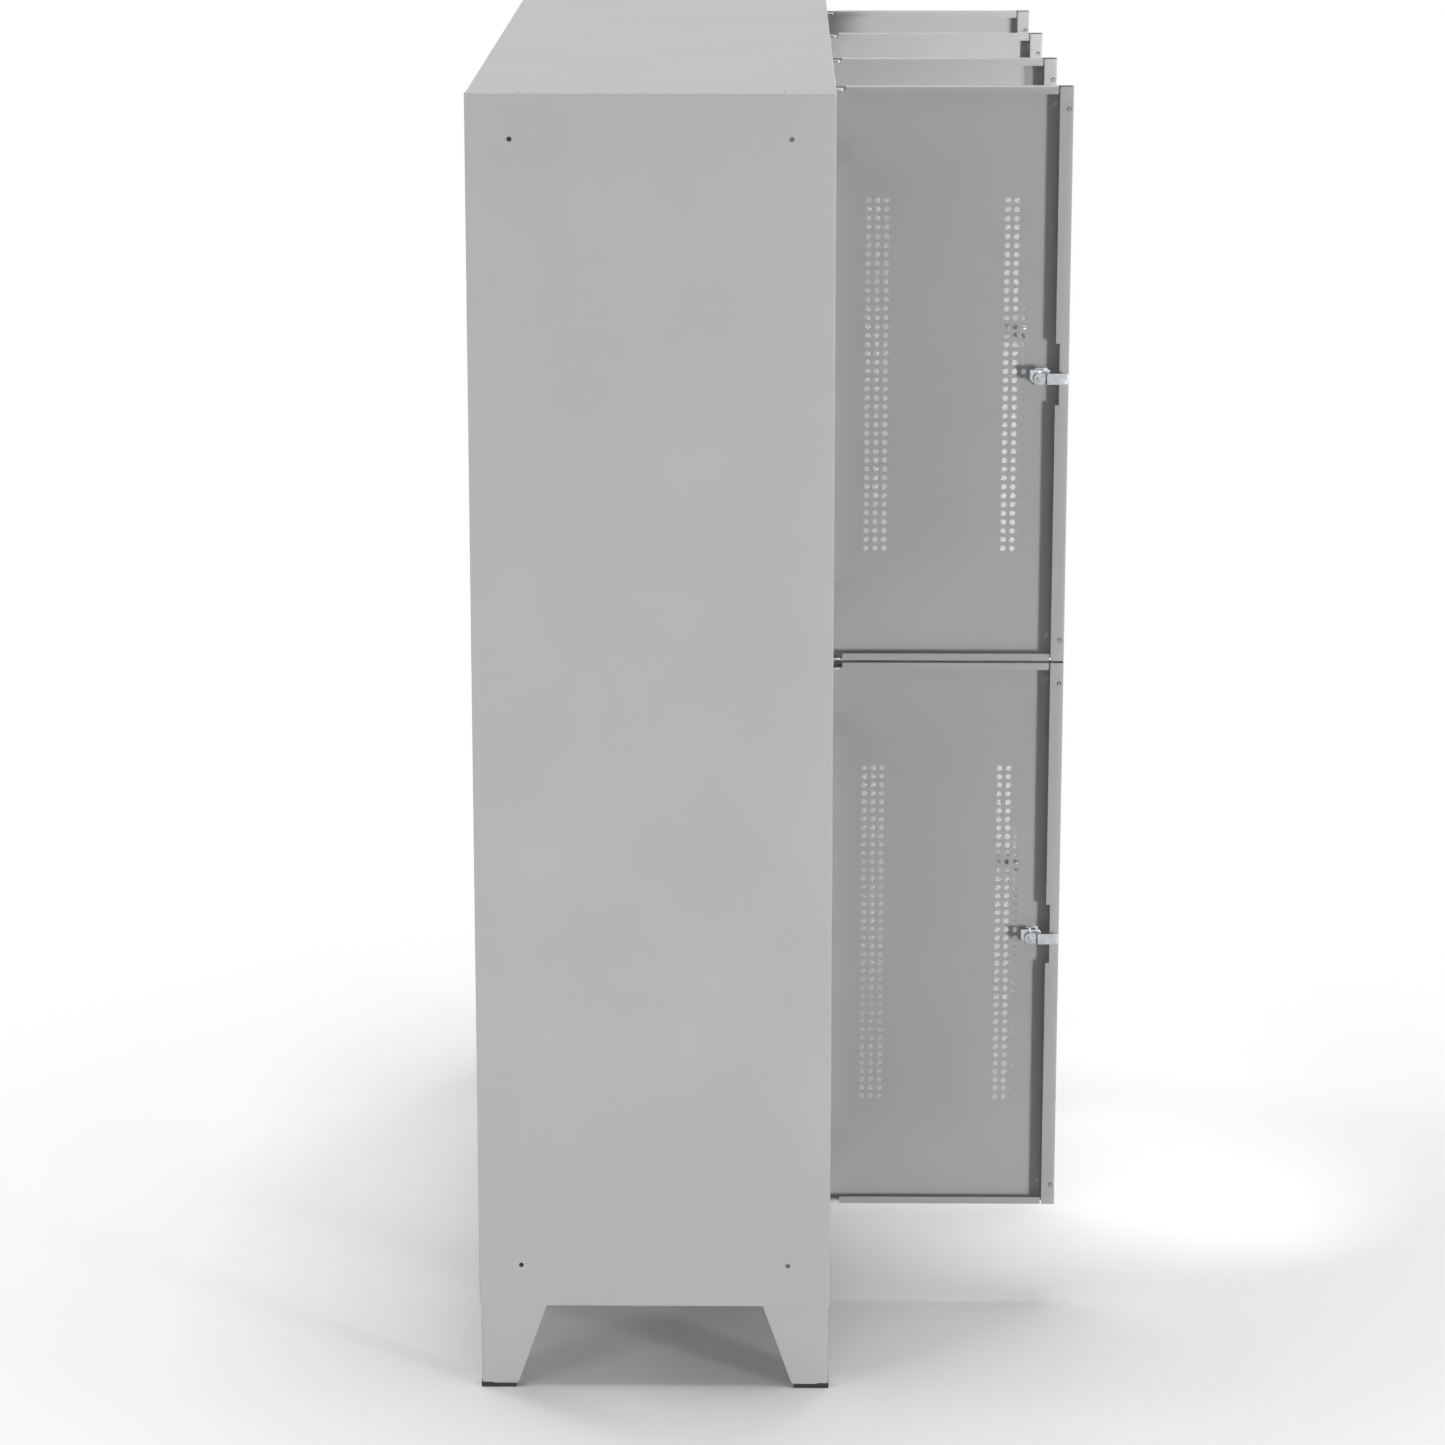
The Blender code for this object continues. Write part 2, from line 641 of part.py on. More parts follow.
def cam_shape():
    """The turning part of a lock: plug with its keyway, cranked cam and the screw on its end."""
    hub_front = BARREL_LENGTH + SEAT
    hub_rear = hub_front + CAM_SHEET
    tongue_rear = TONGUE_FACE + CAM_SHEET
    joggle_end = CAM_JOGGLE_START + CAM_JOGGLE
    half = TONGUE_WIDTH / 2
    strip = [
        (CAM_HUB_RADIUS, hub_front),
        (-CAM_JOGGLE_START, hub_front),
        (-joggle_end, TONGUE_FACE),
        (-CAM_REACH, TONGUE_FACE),
        (-CAM_REACH, tongue_rear),
        (-joggle_end, tongue_rear),
        (-CAM_JOGGLE_START, hub_rear),
        (CAM_HUB_RADIUS, hub_rear),
    ]
    blank = prism(strip, -CAM_HUB_RADIUS, CAM_HUB_RADIUS, "Z")
    plan = [(-CAM_JOGGLE_START, -half)]
    plan += arc(0, 0, CAM_HUB_RADIUS, -CAM_HUB_SWEEP, CAM_HUB_SWEEP, 2 * CORNER_POINTS)
    plan += [(-CAM_JOGGLE_START, half)]
    plan += arc(half - CAM_REACH, 0, half, 90, 270, 2 * CORNER_POINTS)
    die = prism(plan, hub_front - OVERRUN, tongue_rear + OVERRUN, "Y")
    cam = keep_common(blank, die)
    plug_front = SEAT - RIM_THICKNESS
    plug = rod(PLUG_RADIUS, plug_front, hub_front + CAM_SHEET / 2, (0, 0), "Y")
    keyway = box(
        (-KEYWAY_WIDTH / 2, plug_front - OVERRUN, -KEYWAY_HEIGHT / 2),
        (KEYWAY_WIDTH / 2, plug_front + KEYWAY_DEPTH, KEYWAY_HEIGHT / 2),
    )
    screw = rod(SCREW_RADIUS, hub_rear - CAM_SHEET / 2, hub_rear + SCREW_HEAD, (0, 0), "Y")
    return cut(join(cam, plug, screw), keyway)


def strike_shape():
    """The plate that a turned cam catches behind, from the post's edge at x = 0."""
    reach = LEAF_SIDE_GAP + LOCK_FROM_EDGE + TONGUE_WIDTH / 2 + STRIKE_OVERREACH
    low = STRIKE_START
    high = STRIKE_START + STRIKE_HEIGHT
    bend = STRIKE_CORNER
    plan = [(0, low)]
    plan += arc(reach - bend, low + bend, bend, -90, 0)
    plan += arc(reach - bend, high - bend, bend, 0, 90)
    plan += [(0, high)]
    front = FRONT + POST_DEPTH + SEAT
    return prism(plan, front, front + STRIKE_THICKNESS, "Y")


def paint(name):
    """Powder-coated sheet steel."""
    return make_material(name, PAINT, roughness=0.45, metallic=0)


def zinc(name):
    """Zinc-plated steel."""
    return make_material(name, ZINC, roughness=0.35, metallic=1)


def make_doors():
    """The eight doors with their locks and cams, each on its own hinge axis, and the strikes."""
    leaves = {
        "upper": take_mesh(leaf_shape(RAIL_RECESS, UPPER_RECESS)),
        "lower": take_mesh(leaf_shape(LOWER_RECESS, RAIL_RECESS)),
    }
    lock_mesh = take_mesh(lock_shape())
    cam_mesh = take_mesh(cam_shape())
    strike_mesh = take_mesh(strike_shape())
    lock_place = (LOCK_X, -PIVOT_FROM_FACE, 0)
    leaf_paint = paint("door_paint")
    lock_steel = zinc("lock_steel")
    cam_steel = zinc("cam_steel")
    strike_steel = zinc("strike_steel")
    for tier, middle in TIER_HEIGHTS.items():
        for column in range(COLUMNS):
            label = f"{tier}_{column + 1}"
            axis = bpy.data.objects.new(f"hinge_axis_{label}", None)
            axis.location = (hinge_x(column), PIVOT_Y, middle)
            axis.rotation_euler = (0, 0, OPEN_ANGLE)
            locker.objects.link(axis)
            place(f"door_{label}", leaves[tier], leaf_paint, axis)
            place(f"lock_{label}", lock_mesh, lock_steel, axis, lock_place)
            place(f"cam_{label}", cam_mesh, cam_steel, axis, lock_place)
            post_edge = column_left(column) + POST_WIDTH / 2
            strike_place = (post_edge, 0, middle)
            place(f"strike_{label}", strike_mesh, strike_steel, None, strike_place)


clear_scene()
locker = make_collection("clothes_locker")
shapes = make_collection("unfinished_shapes")

make_side_panel("side_panel_left", -1)
make_side_panel("side_panel_right", 1)
for divider_number in range(1, COLUMNS):
    make_divider(divider_number)
make_top_panel()
make_base_panel()
make_back_panel()
for column_index in range(COLUMNS):
    make_shelf(column_index)
    make_clothes_rail("upper", column_index)
    make_clothes_rail("lower", column_index)
for foot_name, foot_side, foot_end in (
    ("front_left", -1, -1),
    ("front_right", 1, -1),
    ("rear_left", -1, 1),
    ("rear_right", 1, 1),
):
    make_foot(foot_name, foot_side, foot_end)
make_doors()
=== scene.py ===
import math

import bmesh
import bpy
from mathutils import Matrix, Vector


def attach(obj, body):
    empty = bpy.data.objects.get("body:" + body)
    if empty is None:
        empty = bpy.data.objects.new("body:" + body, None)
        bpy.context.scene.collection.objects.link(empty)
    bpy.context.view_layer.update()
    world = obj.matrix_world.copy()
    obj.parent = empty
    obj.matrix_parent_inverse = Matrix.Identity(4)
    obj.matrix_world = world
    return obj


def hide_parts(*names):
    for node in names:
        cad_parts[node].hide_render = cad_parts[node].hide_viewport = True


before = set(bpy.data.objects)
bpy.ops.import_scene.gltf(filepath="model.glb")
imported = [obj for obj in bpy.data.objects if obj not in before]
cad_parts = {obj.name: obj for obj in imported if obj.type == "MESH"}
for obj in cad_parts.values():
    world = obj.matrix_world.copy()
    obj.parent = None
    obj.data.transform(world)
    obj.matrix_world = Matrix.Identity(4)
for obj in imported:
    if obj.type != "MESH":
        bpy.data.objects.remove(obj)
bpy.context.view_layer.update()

# Side panels
# Each side is one sheet of 1 mm steel, folded in at the rear for the back's seat and at the front
# into the post that the doors close on. Four punched holes take the bolts that link lockers, and
# slots in the left post's flange let the cams through. The welded body is powder-coated.
SHEET = 0.001
SEAT = 0.0003
SIDE = 0.800
FRONT = -0.080
REAR = 0.420
HEIGHT = 1.850
UNDERSIDE = 0.125
FLOOR = 0.151
RAIL_UNDERSIDE = 1.825
POST_HALF = 0.020
POST_REAR = -0.056
STOP = 0.012
UPPER_MIDDLE = 1.40625
LOWER_MIDDLE = 0.56975
FOLD_RADIUS = 0.0022
REAR_FOLD = 0.015
EDGE_FOLD = 0.0032
SLOT_HALF = 0.012
LINK_RADIUS = 0.0035
LINK_Y = (FRONT + 0.060, REAR - 0.060)
LINK_Z = (UNDERSIDE + 0.061, HEIGHT - 0.061)
CLOSE = 1e-5


def linear(code):
    """A hex colour as linear red, green, blue and alpha."""
    parts = [int(code[i : i + 2], 16) / 255 for i in (1, 3, 5)]
    return (*[p / 12.92 if p <= 0.04045 else ((p + 0.055) / 1.055) ** 2.4 for p in parts], 1.0)


def feed(node, *ordered, **named):
    """Sets a node's inputs in order or by name, each to a value or another node's output."""
    pairs = [*zip(node.inputs, ordered)]
    pairs += [(node.inputs[name.replace("_", " ")], value) for name, value in named.items()]
    for socket, value in pairs:
        if isinstance(value, bpy.types.NodeSocket):
            node.id_data.links.new(value, socket)
        else:
            socket.default_value = value


def add_node(material, kind, settings=None, *ordered, **named):
    """Adds a node with its settings and links."""
    node = material.node_tree.nodes.new(kind)
    for name, value in (settings or {}).items():
        setattr(node, name, value)
    feed(node, *ordered, **named)
    return node


def new_material(name, **surface):
    """A material, its shader with the numbers that are the same all over, and its coordinates."""
    material = bpy.data.materials.new(name)
    material.use_nodes = True
    shader = material.node_tree.nodes["Principled BSDF"]
    feed(shader, **surface)
    place = add_node(material, "ShaderNodeTexCoord").outputs["Object"]
    return material, shader, place


# Light grey polyester powder coat on steel: satin, with a fine orange peel. The peel of a real
# coat is 1 to 2 mm across, under a pixel here, so it is drawn at about 3 mm.
powder_coat, shader, place = new_material("powder_coat_light_grey", Metallic=0.0, IOR=1.5)
cloud = add_node(powder_coat, "ShaderNodeTexNoise", Vector=place, Scale=5.0, Detail=3.0)
tint = add_node(powder_coat, "ShaderNodeValToRGB", Fac=cloud.outputs["Fac"])
tint.color_ramp.elements[0].position = 0.3
tint.color_ramp.elements[0].color = linear("#B2B4B3")
tint.color_ramp.elements[1].position = 0.7
tint.color_ramp.elements[1].color = linear("#B6B8B7")
flow = add_node(powder_coat, "ShaderNodeTexNoise", Vector=place, Scale=60.0, Detail=2.0)
sheen = add_node(powder_coat, "ShaderNodeMapRange", Value=flow.outputs["Fac"],
                 To_Min=0.42, To_Max=0.52)
peel = add_node(powder_coat, "ShaderNodeTexNoise", Vector=place, Scale=330.0, Detail=2.0)
skin = add_node(powder_coat, "ShaderNodeBump", Height=peel.outputs["Fac"],
                Strength=0.18, Distance=0.0002)
feed(shader, Base_Color=tint.outputs["Color"], Roughness=sheen.outputs["Result"],
     Normal=skin.outputs["Normal"])


def near(a, b):
    return abs(a - b) < CLOSE


def start(add, scale=(1, 1, 1), **at):
    """Adds a primitive to an empty selection, at its size and place, and opens it for editing."""
    bpy.ops.object.select_all(action="DESELECT")
    add(**at)
    bpy.context.object.scale = scale
    bpy.ops.object.transform_apply(location=True, rotation=True, scale=True)
    bpy.ops.object.mode_set(mode="EDIT")
    return bpy.context.object


def pick(kind, test, along=None):
    """Selects the faces whose middle, or the edges or vertices whose ends, pass a test.

    Edges may be limited to those along one axis."""
    bpy.ops.mesh.select_mode(type=kind)
    bpy.ops.mesh.select_all(action="DESELECT")
    mesh = bpy.context.object.data
    work = bmesh.from_edit_mesh(mesh)
    if kind == "FACE":
        found = [face for face in work.faces if test(*face.calc_center_median())]
    elif kind == "EDGE":
        found = [edge for edge in work.edges if all(test(*end.co) for end in edge.verts)]
        if along is not None:
            runs = [(edge, (edge.verts[0].co - edge.verts[1].co).normalized()) for edge in found]
            found = [edge for edge, run in runs if abs(run[along]) > 0.999]
    else:
        found = [corner for corner in work.verts if test(*corner.co)]
    for item in found:
        item.select_set(True)
    bmesh.update_edit_mesh(mesh)
    return len(found)


def score(test, point, normal):
    """Cuts a line across the faces that pass a test."""
    pick("FACE", test)
    bpy.ops.mesh.bisect(plane_co=point, plane_no=normal)


def score_at(test, axis, *values):
    """Cuts lines across the faces that pass a test, where a coordinate has the given values."""
    for value in values:
        point, normal = Vector((0, 0, 0)), Vector((0, 0, 0))
        setattr(point, axis, value)
        setattr(normal, axis, 1)
        score(test, point, normal)


def score_both(test, axis, middle, reach):
    """Cuts lines on both sides of a middle across the faces that pass a test."""
    score_at(test, axis, middle - reach, middle + reach)


def trim(test):
    """Cuts away the faces that pass a test."""
    pick("FACE", test)
    bpy.ops.mesh.delete(type="FACE")


def extrude(x, y, z):
    """Extrudes what is selected by a shift."""
    bpy.ops.mesh.extrude_region_move(TRANSFORM_OT_translate={"value": (x, y, z)})


def round_edges(radius, segments):
    """Rounds the selected edges."""
    bpy.ops.mesh.bevel(offset=radius, segments=segments, affect="EDGES")


def punch(centres, radius, segments=4):
    """Punches round holes where score lines cross. This profile makes a corner bevel round."""
    spots = [Vector(centre) for centre in centres]
    pick("VERT", lambda *at: any((Vector(at) - spot).length < CLOSE for spot in spots))
    bpy.ops.mesh.bevel(offset=radius, segments=segments, profile=0.0858, affect="VERTICES")
    trim(lambda *at: any((Vector(at) - spot).length < radius * 0.97 for spot in spots))


def fold(path, low, high, along, radius=FOLD_RADIUS, cuts=None):
    """A skin folded from flat: a plane for the first flange, then an extrusion for each fold.

    path holds two coordinates for each corner and runs with the outer face on its right. The
    folds are rounded last, after cuts has trimmed the flat flanges."""
    order = {"X": (1, 2, 0), "Z": (0, 1, 2)}[along]

    def spot(a, b, c):
        point = Vector((0, 0, 0))
        point[order[0]], point[order[1]], point[order[2]] = a, b, c
        return point

    corners = [spot(a, b, (low + high) / 2) for a, b in path]
    axis = spot(0, 0, 1)
    flange = corners[1] - corners[0]
    across = flange.normalized()
    facing = Matrix((across, axis, across.cross(axis))).transposed()
    piece = start(bpy.ops.mesh.primitive_plane_add, size=1,
                  location=(corners[0] + corners[1]) / 2, rotation=facing.to_euler(),
                  scale=(flange.length, high - low, 1))

    def on_fold(corner):
        return lambda *at: (Vector(at) - corner).cross(axis).length < CLOSE

    pick("EDGE", on_fold(corners[1]))
    for here, there in zip(corners[1:], corners[2:]):
        extrude(*(there - here))
    if cuts:
        cuts()
    for corner in corners[1:-1]:
        if pick("EDGE", on_fold(corner)):
            round_edges(radius, 4)
    return piece


def modify(kind, **settings):
    """Applies a modifier with its settings to the open piece."""
    bpy.ops.object.mode_set(mode="OBJECT")
    bpy.ops.object.modifier_add(type=kind)
    modifier = bpy.context.object.modifiers[-1]
    for name, value in settings.items():
        setattr(modifier, name, value)
    bpy.ops.object.modifier_apply(modifier=modifier.name)


def thicken(thickness=SHEET):
    """Gives a skin the sheet's thickness behind its outer face."""
    modify("SOLIDIFY", thickness=thickness, offset=-1, use_even_offset=True)


def complete(piece, name, material):
    """Names a finished piece, gives it its finish and smooths its rounded faces."""
    bpy.ops.object.mode_set(mode="EDIT")
    bpy.ops.mesh.select_all(action="SELECT")
    bpy.ops.mesh.dissolve_degenerate(threshold=1e-6)
    bpy.ops.object.mode_set(mode="OBJECT")
    piece.name = piece.data.name = name
    piece.data.materials.clear()
    piece.data.materials.append(material)
    bpy.ops.object.shade_smooth_by_angle(angle=math.radians(32))
    return piece


def slot_stop(edge):
    """Cuts the cams' slots in the flange to the right of a post's edge."""
    def on_stop(x, y, z):
        return near(y, POST_REAR - SHEET) and x > edge

    for middle in (LOWER_MIDDLE, UPPER_MIDDLE):
        score_both(on_stop, "z", middle, SLOT_HALF)
        trim(lambda x, y, z: on_stop(x, y, z) and abs(z - middle) < SLOT_HALF)


for side, label in ((-1, "left"), (1, "right")):
    outer = side * SIDE
    post_edge = outer - side * POST_HALF
    path = [(outer - side * REAR_FOLD, REAR), (outer, REAR), (outer, FRONT), (post_edge, FRONT),
            (post_edge, POST_REAR - SHEET), (post_edge - side * STOP, POST_REAR - SHEET)]

    def cut_side_panel():
        def on_side(x, y, z):
            return near(x, outer)

        def on_post(x, y, z):
            return y < POST_REAR and not on_side(x, y, z)

        def off_post(x, y, z):
            return on_post(x, y, z) and not FLOOR < z < RAIL_UNDERSIDE

        score_at(on_post, "z", FLOOR + SEAT, RAIL_UNDERSIDE - SEAT)
        score_at(off_post, "x", outer - side * EDGE_FOLD)
        trim(lambda *at: off_post(*at) and abs(at[0] - outer) > EDGE_FOLD)
        if side < 0:
            slot_stop(post_edge)
        score_at(on_side, "y", *LINK_Y)
        score_at(on_side, "z", *LINK_Z)
        punch([(outer, y, z) for y in LINK_Y for z in LINK_Z], LINK_RADIUS)

    if side > 0:
        path.reverse()
    panel = fold(path, UNDERSIDE, HEIGHT, "Z", cuts=cut_side_panel)
    thicken()
    complete(panel, f"side_sheet_{label}", powder_coat)
    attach(panel, "cabinet")
    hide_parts(f"side_panel_{label}")

# Dividers
# A flat web of 1 mm sheet stands between two columns, spot-welded to a folded post that both
# neighbouring doors close on. The post's right flange is slotted for the cams.
PITCH = 0.400
INNER_REAR = REAR - 3 * SHEET - 2 * SEAT + SHEET
POST_BEND = 0.0018


def everywhere(x, y, z):
    return True


for number in (1, 2, 3):
    middle_x = -SIDE + number * PITCH
    left_edge, right_edge = middle_x - POST_HALF, middle_x + POST_HALF
    post = fold(
        [(left_edge - STOP, POST_REAR - SHEET), (left_edge, POST_REAR - SHEET),
         (left_edge, FRONT), (right_edge, FRONT),
         (right_edge, POST_REAR - SHEET), (right_edge + STOP, POST_REAR - SHEET)],
        FLOOR + SEAT, RAIL_UNDERSIDE - SEAT, "Z", radius=POST_BEND,
        cuts=lambda: slot_stop(right_edge),
    )
    thicken()
    complete(post, f"divider_post_{number}", powder_coat)
    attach(post, "cabinet")
    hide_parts(f"divider_{number}")

    def cut_web():
        score_at(everywhere, "y", POST_REAR + SEAT)
        score_at(everywhere, "z", RAIL_UNDERSIDE - SEAT)
        trim(lambda x, y, z: y < POST_REAR and z > RAIL_UNDERSIDE - SEAT)

    web = fold(
        [(middle_x + SHEET / 2, FRONT + SHEET), (middle_x + SHEET / 2, INNER_REAR)],
        FLOOR + SEAT, HEIGHT - SHEET - SEAT, "Z", cuts=cut_web,
    )
    thicken()
    complete(web, f"divider_web_{number}", powder_coat)
    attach(web, "cabinet")

# Base panel
# The floor of the lower compartments, folded down at the front and rear into skirts that stiffen
# it and give the feet's bolts a flange.
HALF_WIDTH = SIDE - SHEET - SEAT
FRONT_END = SIDE - EDGE_FOLD - SEAT
END_NOTCH = FRONT + FOLD_RADIUS + 0.0004
SKIRT_FLANGE = 0.030


def clear_edge_folds():
    """Cuts a sheet's front ends back from the folds that run up the side panels' edges."""
    score_both(everywhere, "x", 0, FRONT_END)
    score_at(lambda x, *rest: abs(x) > FRONT_END, "y", END_NOTCH)
    trim(lambda x, y, z: abs(x) > FRONT_END and y < END_NOTCH)


base = fold(
    [(INNER_REAR - SKIRT_FLANGE, UNDERSIDE), (INNER_REAR, UNDERSIDE), (INNER_REAR, FLOOR),
     (FRONT, FLOOR), (FRONT, UNDERSIDE), (FRONT + SKIRT_FLANGE, UNDERSIDE)],
    -HALF_WIDTH, HALF_WIDTH, "X", cuts=clear_edge_folds,
)
thicken()
complete(base, "base_sheet", powder_coat)
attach(base, "cabinet")
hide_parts("base_panel")

# Back panel
# A flat sheet inside the side panels' rear folds, held by blind rivets along the sides and up
# the dividers. The rivets are coated with the body.
BACK_REAR = REAR - SHEET - SEAT
RIVET_LINES = (-0.7925, -0.4, 0, 0.4, 0.7925)
RIVET_ROWS = 8
RIVET_LOW = UNDERSIDE + 0.1625
RIVET_STEP = 0.2
RIVET_HEIGHT = 0.001

back = fold(
    [(HALF_WIDTH, BACK_REAR), (-HALF_WIDTH, BACK_REAR)],
    UNDERSIDE, HEIGHT - SHEET - SEAT, "Z",
)
thicken()
complete(back, "back_sheet", powder_coat)
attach(back, "cabinet")
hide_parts("back_panel")


def copy_of(piece, name, shift):
    """A copy of a finished piece with its own mesh, moved by a shift."""
    bpy.ops.object.select_all(action="DESELECT")
    piece.select_set(True)
    bpy.context.view_layer.objects.active = piece
    bpy.ops.object.duplicate(linked=False)
    bpy.ops.transform.translate(value=shift)
    bpy.ops.object.transform_apply(location=True, rotation=False, scale=False)
    copy = bpy.context.object
    copy.name = copy.data.name = name
    return copy


def soften(width=0.0003, segments=2, angle=50):
    """Rounds every sharp edge a little, as coating or tumbling leaves it."""
    modify("BEVEL", width=width, segments=segments, limit_method="ANGLE",
           angle_limit=math.radians(angle))


def rivet_head(at, radius, height):
    """A blind rivet's low round head, facing front or rear."""
    head = start(bpy.ops.mesh.primitive_cylinder_add, vertices=12, radius=radius,
                 depth=height, location=at, rotation=(math.pi / 2, 0, 0))
    bpy.ops.mesh.select_all(action="SELECT")
    soften(height * 0.7)
    return head


rivet = complete(rivet_head((0, REAR - RIVET_HEIGHT / 2, 0), 0.0032, RIVET_HEIGHT), "rivet",
                 powder_coat)
rivets = []
for line, x in enumerate(RIVET_LINES):
    on_divider = 0 < line < len(RIVET_LINES) - 1
    depth = BACK_REAR - REAR if on_divider else 0
    for row in range(RIVET_ROWS):
        shift = (x, depth, RIVET_LOW + row * RIVET_STEP)
        rivets.append(copy_of(rivet, f"back_rivet_{line}_{row}", shift))
bpy.ops.object.select_all(action="DESELECT")
for one in rivets:
    one.select_set(True)
bpy.context.view_layer.objects.active = rivets[0]
bpy.ops.object.join()
back_rivets = complete(bpy.context.object, "back_rivets", powder_coat)
bpy.data.objects.remove(rivet)
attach(back_rivets, "cabinet")

# Shelves
# One sheet of 1 mm steel parts the two tiers of each column. It is folded down at the front and
# the rear, spot-welded to the walls and coated with the body.
SHELF_TOP = 1.0005
SHELF_FRONT = POST_REAR + SEAT
SHELF_LIP = 0.025


def walls(column):
    """The x of the inner faces that a column's shelf and clothes rails reach to."""
    left = SHEET if column == 0 else SHEET / 2
    right = SHEET if column == 3 else SHEET / 2
    return -SIDE + column * PITCH + left + SEAT, -SIDE + (column + 1) * PITCH - right - SEAT


for column in range(4):
    left, right = walls(column)
    shelf = fold(
        [(INNER_REAR, SHELF_TOP - SHELF_LIP), (INNER_REAR, SHELF_TOP),
         (SHELF_FRONT, SHELF_TOP), (SHELF_FRONT, SHELF_TOP - SHELF_LIP)],
        left, right, "X",
    )
    thicken()
    complete(shelf, f"shelf_sheet_{column + 1}", powder_coat)
    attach(shelf, "cabinet")
    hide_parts(f"shelf_{column + 1}")

# Clothes rails
# A 20 mm zinc-plated steel tube crosses each compartment, its ends in pressed steel cups that
# are screwed to the walls.
RAIL_Y = 0.170
RAIL_Z = {"upper": 1.789, "lower": 0.9395}
TUBE_RADIUS = 0.010
TUBE_WALL = 0.0012
BORE_DEPTH = 0.01
TUBE_GAP = 0.002
CUP_RADIUS = 0.016
CUP_SHEET = 0.0015
CUP_FLANGE = 0.0045
CUP_DEPTH = 0.0045
SIDEWAYS = (0, math.pi / 2, 0)

# Bright zinc plating, drawn and plated: cool, with fine streaks along its length that scatter a
# reflection. The streaks of a real tube are finer than a pixel and are drawn about 1 mm wide.
zinc, shader, place = new_material("zinc_plated_steel", Metallic=1.0)
along_tube = add_node(zinc, "ShaderNodeMapping", Vector=place, Scale=(40.0, 900.0, 900.0))
streak = add_node(zinc, "ShaderNodeTexNoise", Vector=along_tube.outputs["Vector"],
                  Scale=1.0, Detail=2.0)
bloom = add_node(zinc, "ShaderNodeTexNoise", Vector=place, Scale=120.0, Detail=3.0)
plate = add_node(zinc, "ShaderNodeValToRGB", Fac=bloom.outputs["Fac"])
plate.color_ramp.elements[0].position = 0.3
plate.color_ramp.elements[0].color = linear("#B2B5B8")
plate.color_ramp.elements[1].position = 0.7
plate.color_ramp.elements[1].color = linear("#C6C9CB")
rub = add_node(zinc, "ShaderNodeMapRange", Value=streak.outputs["Fac"], To_Min=0.20, To_Max=0.36)
feed(shader, Base_Color=plate.outputs["Color"], Roughness=rub.outputs["Result"])

for tier, rail_z in RAIL_Z.items():
    for column in range(4):
        left, right = walls(column)
        middle_x = (left + right) / 2
        tube = start(bpy.ops.mesh.primitive_cylinder_add, vertices=32, radius=TUBE_RADIUS,
                     depth=right - left - 2 * TUBE_GAP, location=(middle_x, RAIL_Y, rail_z),
                     rotation=SIDEWAYS)
        pick("FACE", lambda x, y, z: near(abs(x - middle_x), (right - left) / 2 - TUBE_GAP))
        bpy.ops.mesh.inset(thickness=TUBE_WALL)
        bpy.ops.mesh.extrude_region_shrink_fatten(
            TRANSFORM_OT_shrink_fatten={"value": -BORE_DEPTH})
        complete(tube, f"rail_tube_{tier}_{column + 1}", zinc)
        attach(tube, "cabinet")
        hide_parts(f"clothes_rail_{tier}_{column + 1}")
        for end, wall, inward in (("left", left, 1), ("right", right, -1)):
            cup = start(bpy.ops.mesh.primitive_cylinder_add, vertices=32, radius=CUP_RADIUS,
                        depth=CUP_SHEET, rotation=SIDEWAYS,
                        location=(wall + inward * CUP_SHEET / 2, RAIL_Y, rail_z))
            pick("FACE", lambda x, y, z: near(x, wall + inward * CUP_SHEET))
            bpy.ops.mesh.inset(thickness=CUP_FLANGE)
            extrude(inward * CUP_DEPTH, 0, 0)
            soften(0.0004)
            complete(cup, f"rail_cup_{tier}_{column + 1}_{end}", zinc)
            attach(cup, "cabinet")

# Top panel
# The roof sheet, folded down at the front into the rail over the doors and back under it. A hole
# in each corner of the roof takes a bolt for a locker stacked on it.
ROOF_Y = (-0.010, 0.349)
ROOF_X = (-SIDE + 0.024, SIDE - 0.024)
ROOF_HOLE = 0.0028


def cut_roof():
    def on_roof(x, y, z):
        return near(z, HEIGHT)

    score_at(on_roof, "y", *ROOF_Y)
    score_at(on_roof, "x", *ROOF_X)
    punch([(x, y, HEIGHT) for x in ROOF_X for y in ROOF_Y], ROOF_HOLE)
    clear_edge_folds()


top = fold(
    [(BACK_REAR, HEIGHT), (FRONT, HEIGHT), (FRONT, RAIL_UNDERSIDE), (POST_REAR, RAIL_UNDERSIDE)],
    -HALF_WIDTH, HALF_WIDTH, "X", cuts=cut_roof,
)
thicken()
complete(top, "top_sheet", powder_coat)
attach(top, "cabinet")
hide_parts("top_panel")

# Corner feet
# Each foot is 2 mm sheet folded to an angle whose two plates taper towards the floor, welded
# under a square top plate with a bolt up into the base. Coated with the body.
CORNERS = (("front_left", -1, -1), ("front_right", 1, -1),
           ("rear_left", -1, 1), ("rear_right", 1, 1))
FOOT_INSET = 0.002
FOOT_X = SIDE - FOOT_INSET
FOOT_FRONT = FRONT + FOOT_INSET
FOOT_REAR = REAR - FOOT_INSET
FOOT_LOW = 0.0058
FOOT_HIGH = UNDERSIDE - SEAT
FOOT_TOP = 0.094
FOOT_BOTTOM = 0.053
FOOT_CHAMFER = 0.003
FOOT_SHEET = 0.002
FOOT_BEND = 0.004
CAP_WIDTH = FOOT_TOP - 0.005
CAP_IN = FOOT_TOP / 2 + 0.0006
CAP_Z = FOOT_HIGH - 0.0011
CAP_CORNER = 0.030
BOLT_RADIUS = 0.0075
BOLT_HEIGHT = 0.0053
BOLT_CHAMFER = (0.0012, 0.0006)
BOLT_IN = 0.040
BOLT_Z = FOOT_HIGH - 0.0047


def box(middle, size):
    """A box, open for editing."""
    return start(bpy.ops.mesh.primitive_cube_add, size=1, location=middle, scale=size)


